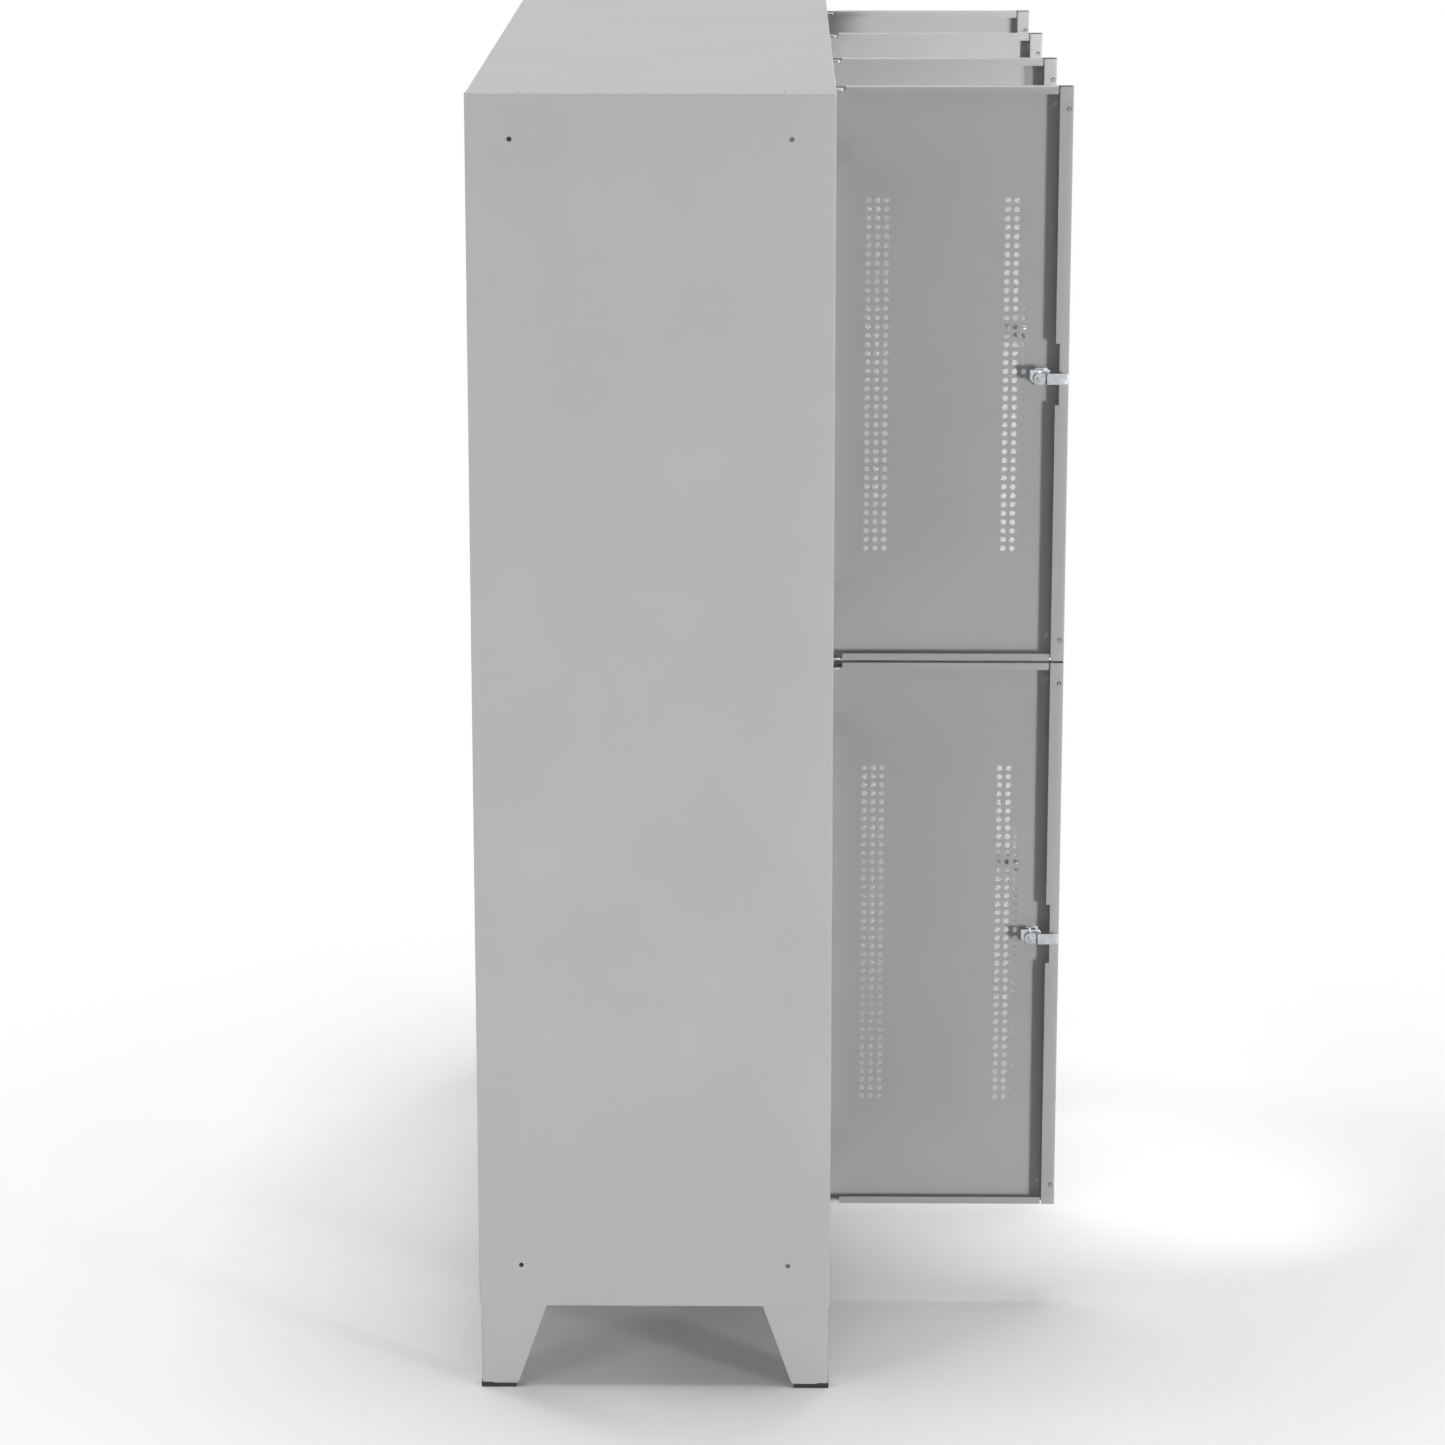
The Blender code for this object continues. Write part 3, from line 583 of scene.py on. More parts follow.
for label, side, end in CORNERS:
    corner_x = side * FOOT_X
    corner_y = FOOT_FRONT if end < 0 else FOOT_REAR
    inward_x, inward_y = -side, -end
    path = [(corner_x + inward_x * FOOT_TOP, corner_y), (corner_x, corner_y),
            (corner_x, corner_y + inward_y * FOOT_TOP)]
    if side * end > 0:
        path.reverse()
    rise = FOOT_HIGH - FOOT_LOW - FOOT_CHAMFER
    lean = FOOT_TOP - FOOT_BOTTOM

    def taper_foot():
        def on_side(x, y, z):
            return near(x, corner_x)

        def on_end(x, y, z):
            return near(y, corner_y)

        for on_plate, inward, corner, axis in (
            (on_side, inward_y, corner_y, 1), (on_end, inward_x, corner_x, 0),
        ):
            foot_point = Vector((corner_x, corner_y, FOOT_LOW + FOOT_CHAMFER))
            foot_point[axis] = corner + inward * FOOT_BOTTOM
            slant = Vector((0, 0, -lean))
            slant[axis] = inward * rise
            nick = Vector((0, 0, -1))
            nick[axis] = inward
            for normal in (slant, nick):
                score(on_plate, foot_point, normal)
                trim(lambda *at: on_plate(*at)
                     and (Vector(at) - foot_point).dot(normal) > CLOSE)

    foot = fold(path, FOOT_LOW, FOOT_HIGH, "Z", radius=FOOT_BEND, cuts=taper_foot)
    thicken(FOOT_SHEET)
    soften(0.0004, 1, 60)
    complete(foot, f"foot_angle_{label}", powder_coat)
    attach(foot, "cabinet")
    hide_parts(f"foot_{label}")

    cap_x, cap_y = corner_x + inward_x * CAP_IN, corner_y + inward_y * CAP_IN
    cap = box((cap_x, cap_y, CAP_Z), (CAP_WIDTH, CAP_WIDTH, FOOT_SHEET))
    pick("EDGE", lambda x, y, z: near(x, cap_x + inward_x * CAP_WIDTH / 2)
         and near(y, cap_y + inward_y * CAP_WIDTH / 2))
    round_edges(CAP_CORNER, 1)
    soften(segments=1)
    complete(cap, f"foot_cap_{label}", powder_coat)
    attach(cap, "cabinet")

    bolt = start(bpy.ops.mesh.primitive_cylinder_add, vertices=6, radius=BOLT_RADIUS,
                 depth=BOLT_HEIGHT, location=(corner_x + inward_x * BOLT_IN,
                                              corner_y + inward_y * BOLT_IN, BOLT_Z))
    pick("FACE", lambda x, y, z: near(z, BOLT_Z - BOLT_HEIGHT / 2))
    bpy.ops.mesh.inset(thickness=BOLT_CHAMFER[0])
    bpy.ops.transform.translate(value=(0, 0, -BOLT_CHAMFER[1]))
    soften()
    complete(bolt, f"foot_bolt_{label}", zinc)
    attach(bolt, "cabinet")

# Glides
# A shoe of black moulded polyamide under each foot's angle keeps steel off the floor. Its outer
# corner turns up round the foot.
GLIDE_OUT = 0.0008
GLIDE_WIDTH = 0.010
GLIDE_REACH = 0.040
GLIDE_HEIGHT = 0.0055
CUFF = 0.0007
CUFF_REACH = 0.016
CUFF_RISE = 0.0018

# Moulded polyamide: nearly black, matt, with a fine spark-eroded grain drawn at 1.5 mm.
black_plastic, shader, place = new_material("polyamide_black_moulded", Metallic=0.0, IOR=1.53)
mottle = add_node(black_plastic, "ShaderNodeTexNoise", Vector=place, Scale=90.0, Detail=3.0)
pigment = add_node(black_plastic, "ShaderNodeValToRGB", Fac=mottle.outputs["Fac"])
pigment.color_ramp.elements[0].color = linear("#171819")
pigment.color_ramp.elements[1].color = linear("#232425")
grain = add_node(black_plastic, "ShaderNodeTexNoise", Vector=place, Scale=650.0, Detail=2.0)
matt = add_node(black_plastic, "ShaderNodeMapRange", Value=grain.outputs["Fac"],
                To_Min=0.45, To_Max=0.65)
pits = add_node(black_plastic, "ShaderNodeBump", Height=grain.outputs["Fac"],
                Strength=0.3, Distance=0.0002)
feed(shader, Base_Color=pigment.outputs["Color"], Roughness=matt.outputs["Result"],
     Normal=pits.outputs["Normal"])

for label, side, end in CORNERS:
    corner_x = side * (FOOT_X + GLIDE_OUT)
    corner_y = FOOT_FRONT - GLIDE_OUT if end < 0 else FOOT_REAR + GLIDE_OUT
    inward_x, inward_y = -side, -end
    glide = box((corner_x + inward_x * GLIDE_WIDTH / 2, corner_y + inward_y * GLIDE_WIDTH / 2,
                 GLIDE_HEIGHT / 2), (GLIDE_WIDTH, GLIDE_WIDTH, GLIDE_HEIGHT))
    pick("FACE", lambda x, y, z: near(x, corner_x + inward_x * GLIDE_WIDTH))
    extrude(inward_x * GLIDE_REACH, 0, 0)
    pick("FACE", lambda x, y, z: near(y, corner_y + inward_y * GLIDE_WIDTH)
         and abs(x - corner_x) < GLIDE_WIDTH)
    extrude(0, inward_y * GLIDE_REACH, 0)

    def on_top(x, y, z):
        return near(z, GLIDE_HEIGHT)

    for axis, corner, inward in (("x", corner_x, inward_x), ("y", corner_y, inward_y)):
        score_at(on_top, axis, corner + inward * CUFF, corner + inward * CUFF_REACH)
    pick("FACE", lambda x, y, z: on_top(x, y, z)
         and (abs(x - corner_x) < CUFF or abs(y - corner_y) < CUFF)
         and abs(x - corner_x) < CUFF_REACH and abs(y - corner_y) < CUFF_REACH)
    extrude(0, 0, CUFF_RISE)
    soften()
    complete(glide, f"glide_shoe_{label}", black_plastic)
    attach(glide, "cabinet")
    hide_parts(f"glide_{label}")

# Door leaves
# Each leaf is a pan of 1 mm sheet: two strips of punched holes for air, side walls folded in to
# full-height lips, and end walls folded in to narrower ones that stop short at the hinge. The
# free edge's lip is notched for the cam and has a hole for a buffer near each end.
FACE = -0.4245
LEAF_DEPTH = 0.020
LIP_PLANE = FACE - LEAF_DEPTH
FREE_EDGE = -0.420
HINGE_EDGE = -0.065
LEAF_HALF = 0.41675
LEAF_BEND = 0.0014
SIDE_LIP = 0.0194
LIP_START = FREE_EDGE + SIDE_LIP + 0.0020
LIP_END = -0.0975
END_LIP = 0.0105
END_LIP_TIP = -0.1055
HOLE_RADIUS = 0.004
HOLE_PITCH = 0.013
HOLE_ROWS = 40
STRIPS = ((-0.131, -0.144, -0.157), (-0.330, -0.343, -0.356))
STRIP_MARGIN = 0.010
FIELD_HALF = HOLE_ROWS / 2 * HOLE_PITCH + 0.004
ROWS = [UPPER_MIDDLE + (row - (HOLE_ROWS - 1) / 2) * HOLE_PITCH for row in range(HOLE_ROWS)]
LOCK_Y = -0.378
LOCK_HOLE = 0.0098
PATCH = 0.012
NOTCH_LOW = -0.0395
NOTCH_HIGH = 0.050
NOTCH_EDGE = FREE_EDGE + SIDE_LIP - 0.0056
BUFFER_Y = -0.4135
BUFFER_UP = 0.38575
BUFFER_HOLE = 0.0032
BUFFER_PATCH = 0.008
TIERS = {"upper": 0, "lower": LOWER_MIDDLE - UPPER_MIDDLE}


def compartments():
    """Each compartment's label, and how far it lies from the first upper one along x and z."""
    for tier, drop in TIERS.items():
        for column in range(4):
            yield f"{tier}_{column + 1}", column * PITCH, drop


def up_from_middle(z):
    return z - UPPER_MIDDLE


def on_face(x, y, z):
    return near(x, FACE)


def in_field(x, y, z):
    return on_face(x, y, z) and abs(up_from_middle(z)) < FIELD_HALF


def by_strips(x, y, z):
    return in_field(x, y, z) and y < STRIPS[1][2] - STRIP_MARGIN


def in_patch(x, y, z):
    return by_strips(x, y, z) and abs(up_from_middle(z)) < PATCH


def on_end_wall(x, y, z):
    return near(abs(up_from_middle(z)), LEAF_HALF)


def on_hinge_wall(x, y, z):
    return near(y, HINGE_EDGE)


def on_free_lip(x, y, z):
    return near(x, LIP_PLANE) and y < FREE_EDGE + SIDE_LIP


def by_notch(x, y, z):
    return on_free_lip(x, y, z) and NOTCH_LOW < up_from_middle(z) < NOTCH_HIGH


leaf = box((FACE - LEAF_DEPTH / 2, (FREE_EDGE + HINGE_EDGE) / 2, UPPER_MIDDLE),
           (LEAF_DEPTH, HINGE_EDGE - FREE_EDGE, 2 * LEAF_HALF))
trim(lambda x, y, z: near(x, LIP_PLANE))

score_both(on_face, "z", UPPER_MIDDLE, FIELD_HALF)
for strip in STRIPS:
    edges = (strip[0] + STRIP_MARGIN, strip[2] - STRIP_MARGIN)
    score_at(in_field, "y", *edges)

    def in_strip(x, y, z):
        return in_field(x, y, z) and edges[1] < y < edges[0]

    score_at(in_strip, "y", *strip)
    score_at(in_strip, "z", *ROWS)
score_both(by_strips, "z", UPPER_MIDDLE, PATCH)
score_at(in_patch, "y", LOCK_Y, LOCK_Y - PATCH)
score_at(lambda x, y, z: in_patch(x, y, z) and y > LOCK_Y - PATCH, "z", UPPER_MIDDLE)
punch([(FACE, y, z) for strip in STRIPS for y in strip for z in ROWS], HOLE_RADIUS)
punch([(FACE, LOCK_Y, UPPER_MIDDLE)], LOCK_HOLE)

score_at(on_end_wall, "y", LIP_START, LIP_END)
score_at(on_face, "y", LIP_START - SEAT)
trim(lambda x, y, z: on_end_wall(x, y, z) and not LIP_START < y < LIP_END)
score_both(on_hinge_wall, "z", UPPER_MIDDLE, LEAF_HALF - END_LIP)
trim(lambda x, y, z: on_hinge_wall(x, y, z) and abs(up_from_middle(z)) > LEAF_HALF - END_LIP)

pick("EDGE", lambda x, y, z: near(x, LIP_PLANE) and near(y, FREE_EDGE))
extrude(0, SIDE_LIP, 0)
pick("EDGE", lambda x, y, z: near(x, LIP_PLANE) and near(y, HINGE_EDGE))
extrude(0, -SIDE_LIP, 0)
for end in (-1, 1):
    end_z = UPPER_MIDDLE + end * LEAF_HALF
    pick("EDGE", lambda x, y, z: near(x, LIP_PLANE) and near(z, end_z)
         and LIP_START - CLOSE < y < LIP_END + CLOSE)
    extrude(0, 0, -end * END_LIP)
    nick = Vector((LIP_PLANE, END_LIP_TIP, end_z - end * END_LIP))
    slope = Vector((0, 0.006, end * -0.008))

    def on_end_lip(x, y, z):
        return near(x, LIP_PLANE) and LIP_START < y < LIP_END and abs(z - end_z) < END_LIP

    score(on_end_lip, nick, slope)
    trim(lambda *at: on_end_lip(*at) and (Vector(at) - nick).dot(slope) > CLOSE * 0.01)

score_at(on_free_lip, "z", UPPER_MIDDLE + NOTCH_LOW, UPPER_MIDDLE + NOTCH_HIGH)
score_at(by_notch, "y", NOTCH_EDGE)
trim(lambda x, y, z: by_notch(x, y, z) and y > NOTCH_EDGE)
for end in (-1, 1):
    buffer_z = UPPER_MIDDLE + end * BUFFER_UP
    score_both(on_free_lip, "z", buffer_z, BUFFER_PATCH)

    def by_buffer(x, y, z):
        return on_free_lip(x, y, z) and abs(z - buffer_z) < BUFFER_PATCH

    score_at(by_buffer, "y", BUFFER_Y)
    score_at(by_buffer, "z", buffer_z)
    punch([(LIP_PLANE, BUFFER_Y, buffer_z)], BUFFER_HOLE)

for x in (FACE, LIP_PLANE):
    for y in (FREE_EDGE, HINGE_EDGE):
        pick("EDGE", lambda *at: near(at[0], x) and near(at[1], y))
        round_edges(LEAF_BEND, 3)
    for end in (-1, 1):
        end_z = UPPER_MIDDLE + end * LEAF_HALF
        pick("EDGE", lambda *at: near(at[0], x) and near(at[2], end_z)
             and LIP_START - CLOSE < at[1] < LIP_END + CLOSE)
        round_edges(LEAF_BEND, 3)
thicken()
complete(leaf, "leaf_pattern", powder_coat)

for label, x, drop in compartments():
    pan = copy_of(leaf, f"leaf_sheet_{label}", (x, 0, drop))
    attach(pan, f"leaf_{label}")
    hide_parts(f"door_{label}")
bpy.data.objects.remove(leaf)

# Hinge stiffeners
# A thin doubler with rounded corners is welded inside each leaf behind its hinges, and only its
# outline shows through the coat.
STIFFENER = (0.0004, 0.043, 0.033)
STIFFENER_Y = -0.0875
STIFFENER_UP = 0.31975
STIFFENER_CORNER = 0.007
stiffener = box((FACE - SHEET - STIFFENER[0] / 2, STIFFENER_Y, UPPER_MIDDLE), STIFFENER)
pick("EDGE", lambda x, y, z: near(y, STIFFENER_Y - STIFFENER[1] / 2), along=0)
round_edges(STIFFENER_CORNER, 5)
soften(0.0002, 1, 60)
complete(stiffener, "stiffener_pattern", powder_coat)
for label, x, drop in compartments():
    for end, up in (("top", STIFFENER_UP), ("bottom", -STIFFENER_UP)):
        plate = copy_of(stiffener, f"hinge_stiffener_{label}_{end}", (x, 0, drop + up))
        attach(plate, f"leaf_{label}")
bpy.data.objects.remove(stiffener)

# Hinge plates
# Slant-cornered plates of 2.5 mm zinc-plated steel are welded across the leaf's open corners and
# turn on the body's pins.
HINGE_PLATE = (0.019, 0.037, 0.0025)
HINGE_PLATE_Y = -0.0845
HINGE_PLATE_SLANT = 0.010
HINGE_PLATE_CORNER = 0.0018
# How far each plate lies above its leaf's middle.
PLATE_UP = {
    "upper": {"top": LEAF_HALF - 0.00425, "bottom": 0.00225 - LEAF_HALF},
    "lower": {"top": LEAF_HALF - 0.00925, "bottom": 0.00425 - LEAF_HALF},
}
hinge_plate = box((FACE - SHEET - HINGE_PLATE[0] / 2, HINGE_PLATE_Y, UPPER_MIDDLE), HINGE_PLATE)
pick("VERT", lambda x, y, z: near(x, LIP_PLANE) and y < HINGE_PLATE_Y)
bpy.ops.transform.translate(value=(0, HINGE_PLATE_SLANT, 0))
pick("EDGE", everywhere, along=2)
round_edges(HINGE_PLATE_CORNER, 3)
soften()
complete(hinge_plate, "hinge_plate_pattern", zinc)
for tier, drop in TIERS.items():
    for column in range(4):
        for end, up in PLATE_UP[tier].items():
            label = f"{tier}_{column + 1}"
            plate = copy_of(hinge_plate, f"hinge_plate_{label}_{end}",
                            (column * PITCH, 0, drop + up))
            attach(plate, f"leaf_{label}")
bpy.data.objects.remove(hinge_plate)

# Hinge pins and lugs
# Steel pins with a rounded point stand in the front rail, in the base and, between the tiers, in
# a lug on the post. Collars carry the weight of the leaves.
HINGE_X = -0.431
PIVOT_Y = -0.0735
PIN_RADIUS = 0.0030
PIN_TIP = 0.0020
PIN_POINT = 0.001
COLLAR_RADIUS = 0.0050
COLLAR_EDGE = 0.0046
COLLAR_BEVEL = 0.0004
# A pin's lower and upper end, then its collar's.
PINS = {
    "top": (1.8105, 1.827),
    "middle": (0.969, 1.000, 0.9831, 0.9902),
    "bottom": (0.1495, 0.1655, 0.1511, 0.1557),
}
LUG_TOP = 0.983
LUG_SHEET = 0.003
LUG_WIDTH = 0.011
LUG_END = PIVOT_Y - LUG_WIDTH / 2
LUG_CORNER = 0.0045


def face_out():
    """Turns all faces of a piece to point outwards."""
    bpy.ops.mesh.select_all(action="SELECT")
    bpy.ops.mesh.normals_make_consistent(inside=False)


def turned_pin(name, x, sections):
    """A pin turned on an upright axis: a disc drawn up through its sections by extrusion."""
    radius, low = sections[0]
    pin = start(bpy.ops.mesh.primitive_circle_add, vertices=24, radius=radius,
                fill_type="NGON", location=(x, PIVOT_Y, low))
    bpy.ops.mesh.select_all(action="SELECT")
    for (last_radius, last_z), (next_radius, next_z) in zip(sections, sections[1:]):
        extrude(0, 0, next_z - last_z)
        ratio = next_radius / last_radius
        bpy.ops.transform.resize(value=(ratio, ratio, 1))
    face_out()
    return complete(pin, name, zinc)


def pin_sections(low, high, collar_low=None, collar_high=None):
    """A pin's profile from its lower point to its upper one, with a collar between."""
    rows = [(PIN_TIP, low), (PIN_RADIUS, low + PIN_POINT)]
    if collar_low is not None:
        rows += [(PIN_RADIUS, collar_low), (COLLAR_EDGE, collar_low + CLOSE),
                 (COLLAR_RADIUS, collar_low + COLLAR_BEVEL),
                 (COLLAR_RADIUS, collar_high - COLLAR_BEVEL), (COLLAR_EDGE, collar_high),
                 (PIN_RADIUS, collar_high + CLOSE)]
    return rows + [(PIN_RADIUS, high - PIN_POINT), (PIN_TIP, high)]


for column in range(4):
    x = HINGE_X + column * PITCH
    for end, heights in PINS.items():
        pin = turned_pin(f"hinge_pin_{end}_{column + 1}", x, pin_sections(*heights))
        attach(pin, "cabinet")
    lug = box((x, (PIVOT_Y + POST_REAR - SHEET) / 2, LUG_TOP - LUG_SHEET / 2),
              (LUG_WIDTH, POST_REAR - SHEET - PIVOT_Y, LUG_SHEET))
    pick("FACE", lambda fx, fy, fz: near(fy, PIVOT_Y))
    extrude(0, LUG_END - PIVOT_Y, 0)
    pick("EDGE", lambda fx, fy, fz: near(fy, LUG_END), along=2)
    round_edges(LUG_CORNER, 5)
    soften(segments=1)
    complete(lug, f"hinge_lug_{column + 1}", powder_coat)
    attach(lug, "cabinet")

# Buffers
# A button of pale moulded rubber is pushed into each hole of the free edge's lip, where its
# flange holds it. It takes the slam.
BUFFER_RADIUS = 0.0022
BUFFER_LENGTH = 0.006
BUFFER_NEAR = LIP_PLANE + 0.0003
BUFFER_FAR = BUFFER_NEAR + BUFFER_LENGTH
BUFFER_FLANGE = 0.0012
BUFFER_BACK = 0.001
BUFFER_DOME = 0.0008
BUFFER_SAG = 0.0006

# Moulded natural rubber: off-white, slightly see-through, dull, with dust in its skin.
rubber, shader, place = new_material("rubber_pale_moulded", Metallic=0.0, IOR=1.5,
                                     Subsurface_Weight=0.2, Subsurface_Scale=0.002)
dust = add_node(rubber, "ShaderNodeTexNoise", Vector=place, Scale=400.0, Detail=3.0)
pale = add_node(rubber, "ShaderNodeValToRGB", Fac=dust.outputs["Fac"])
pale.color_ramp.elements[0].color = linear("#A9A9A4")
pale.color_ramp.elements[1].color = linear("#C4C4BE")
dull = add_node(rubber, "ShaderNodeMapRange", Value=dust.outputs["Fac"], To_Min=0.5, To_Max=0.7)
feed(shader, Base_Color=pale.outputs["Color"], Roughness=dull.outputs["Result"])

buffer = start(bpy.ops.mesh.primitive_cylinder_add, vertices=20, radius=BUFFER_RADIUS,
               depth=BUFFER_LENGTH, rotation=SIDEWAYS,
               location=(BUFFER_NEAR + BUFFER_LENGTH / 2, BUFFER_Y, UPPER_MIDDLE - BUFFER_SAG))
pick("FACE", lambda x, y, z: near(x, BUFFER_FAR))
bpy.ops.mesh.inset(thickness=-BUFFER_FLANGE)
extrude(BUFFER_BACK, 0, 0)
pick("FACE", lambda x, y, z: near(x, BUFFER_NEAR))
round_edges(BUFFER_DOME, 3)
complete(buffer, "buffer_pattern", rubber)
for label, x, drop in compartments():
    for end, up in (("top", BUFFER_UP), ("bottom", -BUFFER_UP)):
        button = copy_of(buffer, f"buffer_{label}_{end}", (x, 0, drop + up))
        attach(button, f"leaf_{label}")
bpy.data.objects.remove(buffer)

# Cam locks
# A zinc-plated barrel with a rim on the leaf's face goes through the leaf, held by a ring nut.
# A square-shouldered clip of galvanised sheet keeps the cam's travel.
THREAD_RADIUS = 0.0094
THREAD_ROOT = 0.0089
THREAD_START = 0.0052
THREAD_PITCH = 0.0011
THREAD_TURNS = 14
CLIP_SHEET = 0.0015
CLIP_DEPTH = 0.0205 + CLIP_SHEET
CLIP_WIDTH = 0.0284
CLIP_HEIGHT = 0.0252
CLIP_HOLE = 0.0099


def across_leaf(name, sections, bore=False, flats=32):
    """A turned piece on the lock's axis: sections give radius and depth behind the leaf's face."""
    radius, depth = sections[0]
    piece = start(bpy.ops.mesh.primitive_circle_add, vertices=flats, radius=radius,
                  fill_type="NOTHING" if bore else "NGON",
                  location=(FACE - depth, LOCK_Y, UPPER_MIDDLE), rotation=(0, -math.pi / 2, 0))
    bpy.ops.mesh.select_mode(type="EDGE")
    bpy.ops.mesh.select_all(action="SELECT")
    for (last_radius, last_depth), (next_radius, next_depth) in zip(sections, sections[1:]):
        extrude(last_depth - next_depth, 0, 0)
        ratio = next_radius / last_radius
        bpy.ops.transform.resize(value=(1, ratio, ratio))
    if bore:
        bpy.ops.mesh.select_all(action="SELECT")
        bpy.ops.mesh.remove_doubles(threshold=CLOSE / 10)
    face_out()
    return complete(piece, name, zinc)


barrel_rows = [(0.0065, 0.0225), (0.0065, -0.0016), (0.0069, -0.0020), (0.0112, -0.0020),
               (0.0119, -0.0014), (0.0120, -0.0003), (THREAD_RADIUS, -0.0003)]
for turn in range(THREAD_TURNS):
    crest = THREAD_START + turn * THREAD_PITCH
    barrel_rows += [(THREAD_RADIUS, crest), (THREAD_ROOT, crest + THREAD_PITCH / 2)]
barrel_rows += [(THREAD_RADIUS, 0.0212), (THREAD_RADIUS, 0.0221), (0.0090, 0.0225),
                (0.0065, 0.0225)]
barrel = across_leaf("barrel_pattern", barrel_rows, bore=True)

nut = across_leaf("nut_pattern", [(0.0098, 0.0013), (0.0136, 0.0013), (0.0136, 0.0046),
                                  (0.0126, 0.0053), (0.0098, 0.0053), (0.0098, 0.0013)],
                  bore=True, flats=6)

# Galvanised sheet: dull blue-grey, with the crystal spangle of the zinc bath, 4 mm across.
galvanised, shader, place = new_material("galvanised_sheet", Metallic=1.0)
spangle = add_node(galvanised, "ShaderNodeTexVoronoi", Vector=place, Scale=250.0)
frost = add_node(galvanised, "ShaderNodeValToRGB", Fac=spangle.outputs["Distance"])
frost.color_ramp.elements[0].color = linear("#D0D2D4")
frost.color_ramp.elements[1].color = linear("#ABAFB3")
matte = add_node(galvanised, "ShaderNodeMapRange", Value=spangle.outputs["Distance"],
                 To_Min=0.28, To_Max=0.42)
feed(shader, Base_Color=frost.outputs["Color"], Roughness=matte.outputs["Result"])

clip = start(bpy.ops.mesh.primitive_plane_add, size=1,
             location=(FACE - CLIP_DEPTH, LOCK_Y, UPPER_MIDDLE),
             rotation=(0, -math.pi / 2, 0), scale=(CLIP_HEIGHT, CLIP_WIDTH, 1))
score_at(everywhere, "y", LOCK_Y)
score_at(everywhere, "z", UPPER_MIDDLE)
punch([(FACE - CLIP_DEPTH, LOCK_Y, UPPER_MIDDLE)], CLIP_HOLE, segments=8)
for slope, reach in ((Vector((0, 0, -1)), 0.0060), (Vector((0, 0.8, -0.6)), 0.0118)):
    edge_point = Vector((0, LOCK_Y, UPPER_MIDDLE)) + slope * reach
    score(everywhere, edge_point, slope)
    trim(lambda *at: (Vector(at) - edge_point).dot(slope) > CLOSE)
face_out()
thicken(CLIP_SHEET)
soften(0.0002)
complete(clip, "clip_pattern", galvanised)

for label, x, drop in compartments():
    for pattern, name in ((barrel, "lock_barrel"), (nut, "lock_nut"), (clip, "lock_clip")):
        piece = copy_of(pattern, f"{name}_{label}", (x, 0, drop))
        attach(piece, f"leaf_{label}")
        if pattern is barrel:
            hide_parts(f"lock_{label}")
for pattern in (barrel, nut, clip):
    bpy.data.objects.remove(pattern)

# Cams
# The lock's plug carries a cranked cam of zinc-plated steel, punched from 2 mm sheet and held by
# a cross-slotted screw. A quarter turn swings its tongue up behind the strike.
PLUG_FRONT = FACE + 0.0017
KEYWAY_HALF = 0.004
KEYWAY_SIDE = 0.00075
KEYWAY_DEPTH = 0.004
CAM_SHEET = 0.002
CAM_DEPTH = 0.0240
TONGUE_DEPTH = 0.0273
CAM_HALF = 0.0080
CAM_TIP = LOCK_Y - 0.0405
CAM_HEEL = LOCK_Y + 0.008
CRANK = (LOCK_Y - 0.0082, LOCK_Y - 0.0102)
SCREW_FACE = FACE - 0.0290
CROSS_HALF = 0.0005
CROSS_DEPTH = 0.0013

plug = across_leaf("plug_pattern", [(0.0052, -0.0017), (0.0060, -0.0012), (0.0060, 0.0250)])
bpy.ops.object.mode_set(mode="EDIT")


def on_plug_front(x, y, z):
    return near(x, PLUG_FRONT)


def by_keyway(x, y, z):
    return on_plug_front(x, y, z) and abs(up_from_middle(z)) < KEYWAY_HALF


score_both(on_plug_front, "z", UPPER_MIDDLE, KEYWAY_HALF)
score_both(by_keyway, "y", LOCK_Y, KEYWAY_SIDE)
pick("FACE", lambda x, y, z: by_keyway(x, y, z) and abs(y - LOCK_Y) < KEYWAY_SIDE)
extrude(-KEYWAY_DEPTH, 0, 0)
complete(plug, "plug_pattern", zinc)

cam = box((FACE - CAM_DEPTH - CAM_SHEET / 2, (CAM_TIP + CAM_HEEL) / 2, UPPER_MIDDLE),
          (CAM_SHEET, CAM_HEEL - CAM_TIP, 2 * CAM_HALF))
score_at(everywhere, "y", *CRANK)
pick("VERT", lambda x, y, z: y < CRANK[1] + CLOSE)
bpy.ops.transform.translate(value=(CAM_DEPTH - TONGUE_DEPTH, 0, 0))
for end_y, radius in ((CAM_HEEL, 0.0078), (CAM_TIP, 0.0026)):
    pick("EDGE", lambda x, y, z: near(y, end_y), along=0)
    round_edges(radius, 8)
soften(0.00025, angle=35)
complete(cam, "cam_pattern", zinc)

screw = across_leaf("screw_pattern", [(0.0044, 0.0258), (0.0045, 0.0262), (0.0045, 0.0276),
                                      (0.0038, 0.0286), (0.0024, 0.0290)])
bpy.ops.object.mode_set(mode="EDIT")


def on_head(x, y, z):
    return near(x, SCREW_FACE)


for offset in (-CROSS_HALF, CROSS_HALF):
    score_at(on_head, "y", LOCK_Y + offset)
    score_at(on_head, "z", UPPER_MIDDLE + offset)
pick("FACE", lambda x, y, z: on_head(x, y, z)
     and (abs(y - LOCK_Y) < CROSS_HALF or abs(up_from_middle(z)) < CROSS_HALF))
extrude(CROSS_DEPTH, 0, 0)
complete(screw, "screw_pattern", zinc)

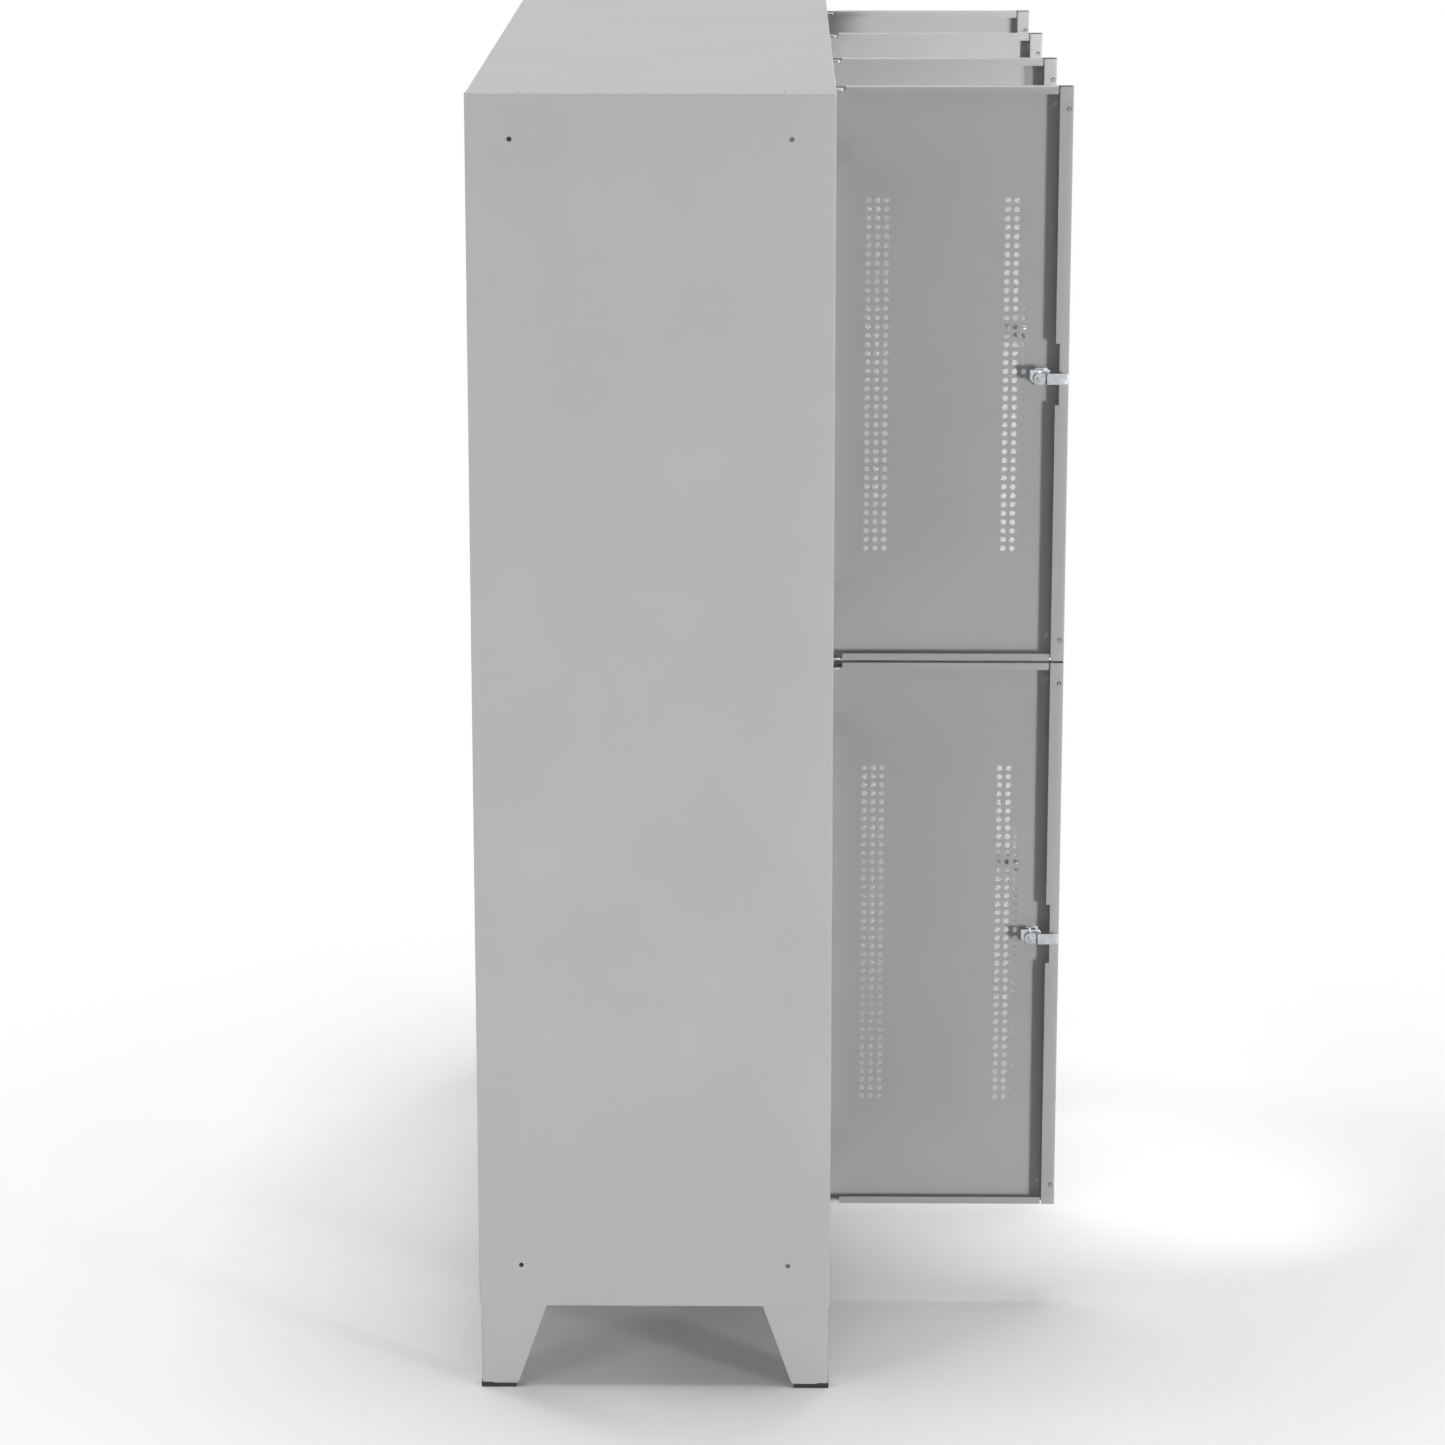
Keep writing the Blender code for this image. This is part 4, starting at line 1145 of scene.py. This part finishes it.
for label, x, drop in compartments():
    for pattern, name in ((cam, "cam_tongue"), (plug, "cam_plug"), (screw, "cam_screw")):
        piece = copy_of(pattern, f"{name}_{label}", (x, 0, drop))
        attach(piece, f"latch_{label}")
        if pattern is cam:
            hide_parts(f"cam_{label}")
for pattern in (cam, plug, screw):
    bpy.data.objects.remove(pattern)

# Strikes
# A plate of 2 mm zinc-plated steel, held behind the post's flange by two coated rivets. The
# turned cam catches behind it.
STRIKE_X = -SIDE + POST_HALF
STRIKE_REACH = 0.054
STRIKE_Z = UPPER_MIDDLE + 0.0295
STRIKE_SHEET = 0.002
STRIKE_HEIGHT = 0.029
STRIKE_CORNER = 0.006
strike = box((STRIKE_X + STRIKE_REACH / 2, POST_REAR + SEAT + STRIKE_SHEET / 2, STRIKE_Z),
             (STRIKE_REACH, STRIKE_SHEET, STRIKE_HEIGHT))
pick("EDGE", lambda x, y, z: near(x, STRIKE_X + STRIKE_REACH), along=1)
round_edges(STRIKE_CORNER, 6)
soften()
complete(strike, "strike_pattern", zinc)
strike_rivet = complete(
    rivet_head((STRIKE_X + 0.006, POST_REAR - SHEET - 0.0004, STRIKE_Z), 0.0022, 0.0009),
    "strike_rivet_pattern", powder_coat)
for label, x, drop in compartments():
    piece = copy_of(strike, f"strike_plate_{label}", (x, 0, drop))
    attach(piece, "cabinet")
    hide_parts(f"strike_{label}")
    for number, up in ((1, -0.009), (2, 0.009)):
        head = copy_of(strike_rivet, f"strike_rivet_{label}_{number}", (x, 0, drop + up))
        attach(head, "cabinet")
bpy.data.objects.remove(strike)
bpy.data.objects.remove(strike_rivet)

# Floor
# A plain pale floor, part of the studio and not of the locker. It keeps the locker's shadow and
# goes over to plain white further out.
WHITE = (1, 1, 1, 1)


def seen_rays(owner):
    """1 for what is seen, straight or in a reflection, and 0 for the light that lands."""
    rays = add_node(owner, "ShaderNodeLightPath")
    seen = rays.outputs["Is Camera Ray"]
    for name in ("Is Glossy Ray", "Is Transmission Ray"):
        either = add_node(owner, "ShaderNodeMath", {"operation": "MAXIMUM"}, seen,
                          rays.outputs[name])
        seen = either.outputs["Value"]
    return seen


floor = start(bpy.ops.mesh.primitive_plane_add, size=90, location=(0, 0, 0))
floor_finish, shader, place = new_material("studio_floor_white", Roughness=0.9,
                                           Specular_IOR_Level=0.1)
distance = add_node(floor_finish, "ShaderNodeVectorMath", {"operation": "LENGTH"}, Vector=place)
fade = add_node(floor_finish, "ShaderNodeMapRange",
                {"interpolation_type": "SMOOTHSTEP"}, Value=distance.outputs["Value"],
                From_Min=0.8, From_Max=1.9)
seen = seen_rays(floor_finish)
shade = add_node(floor_finish, "ShaderNodeMix", {"data_type": "RGBA"}, Factor=seen)
shade.inputs[6].default_value = linear("#A8A8A8")
shade.inputs[7].default_value = linear("#F8F8F8")
feed(shader, Base_Color=shade.outputs[2])
share = add_node(floor_finish, "ShaderNodeMath", {"operation": "MULTIPLY"},
                 fade.outputs["Result"], seen)
glow = add_node(floor_finish, "ShaderNodeEmission", Color=WHITE, Strength=1.0)
blend = add_node(floor_finish, "ShaderNodeMixShader", None, share.outputs["Value"],
                 shader.outputs["BSDF"], glow.outputs["Emission"])
output = next(n for n in floor_finish.node_tree.nodes if n.type == "OUTPUT_MATERIAL")
feed(output, Surface=blend.outputs["Shader"])
complete(floor, "studio_floor", floor_finish)

# Light
# A low lamp at the right of the camera throws the lips' shadows into the leaves, and a wide one
# far overhead lights the floor and the roof. A tall narrow one past the first door's free edge
# lights the inner faces of the others. Softer lamps and the white room fill the other sides.
ROOM_LIGHT = 0.20
world = bpy.data.worlds.new("white_room")
bpy.context.scene.world = world
world.use_nodes = True
background = world.node_tree.nodes["Background"]
level = add_node(world, "ShaderNodeMapRange", Value=seen_rays(world), To_Min=ROOM_LIGHT,
                 To_Max=1.0)
feed(background, Color=WHITE, Strength=level.outputs["Result"])


def soft_lamp(name, at, aim, width, height, power, spread=180):
    """A rectangular soft lamp that points from one place to another and isn't seen itself."""
    lamp = bpy.data.lights.new(name, "AREA")
    lamp.shape = "RECTANGLE"
    lamp.size, lamp.size_y = width, height
    lamp.energy = power
    lamp.spread = math.radians(spread)
    holder = bpy.data.objects.new(name, lamp)
    holder.location = at
    holder.rotation_euler = (Vector(aim) - Vector(at)).to_track_quat("-Z", "Y").to_euler()
    holder.visible_camera = False
    bpy.context.scene.collection.objects.link(holder)


soft_lamp("key_lamp", (-5.2, -4.9, 0.55), (-0.5, -0.2, 0.9), 0.8, 1.0, power=262)
soft_lamp("overhead_lamp", (0.0, 0.0, 13.0), (0.0, 0.0, 0.0), 5.0, 5.0, power=850)
soft_lamp("door_lamp", (-0.41, -1.0, 1.02), (0.34, -0.42, 1.02), 0.08, 1.5, power=7.4, spread=120)
soft_lamp("left_lamp", (-4.0, 3.6, 0.45), (-0.8, 0.2, 0.8), 1.4, 0.8, power=88)
soft_lamp("far_lamp", (5.6, -2.6, 1.2), (0.8, -0.2, 0.9), 2.0, 1.8, power=160)
soft_lamp("back_lamp", (3.2, 4.9, 1.8), (0.2, 0.2, 0.9), 2.0, 1.6, power=130)

# Camera
# It stands where the photograph's camera stood and is tilted down instead of shifted, so that
# every other view keeps the locker in its frame.
camera_data = bpy.data.cameras.new("camera")
camera_data.sensor_width = 36.0
camera_data.lens = 114.5
camera = bpy.data.objects.new("camera", camera_data)
camera.location = (-6.975, -0.001, 2.503)
camera.rotation_euler = Vector((1, 0.012, -0.2461)).to_track_quat("-Z", "Y").to_euler()
bpy.context.scene.collection.objects.link(camera)
bpy.context.scene.camera = camera
bpy.context.scene.view_settings.view_transform = "Standard"
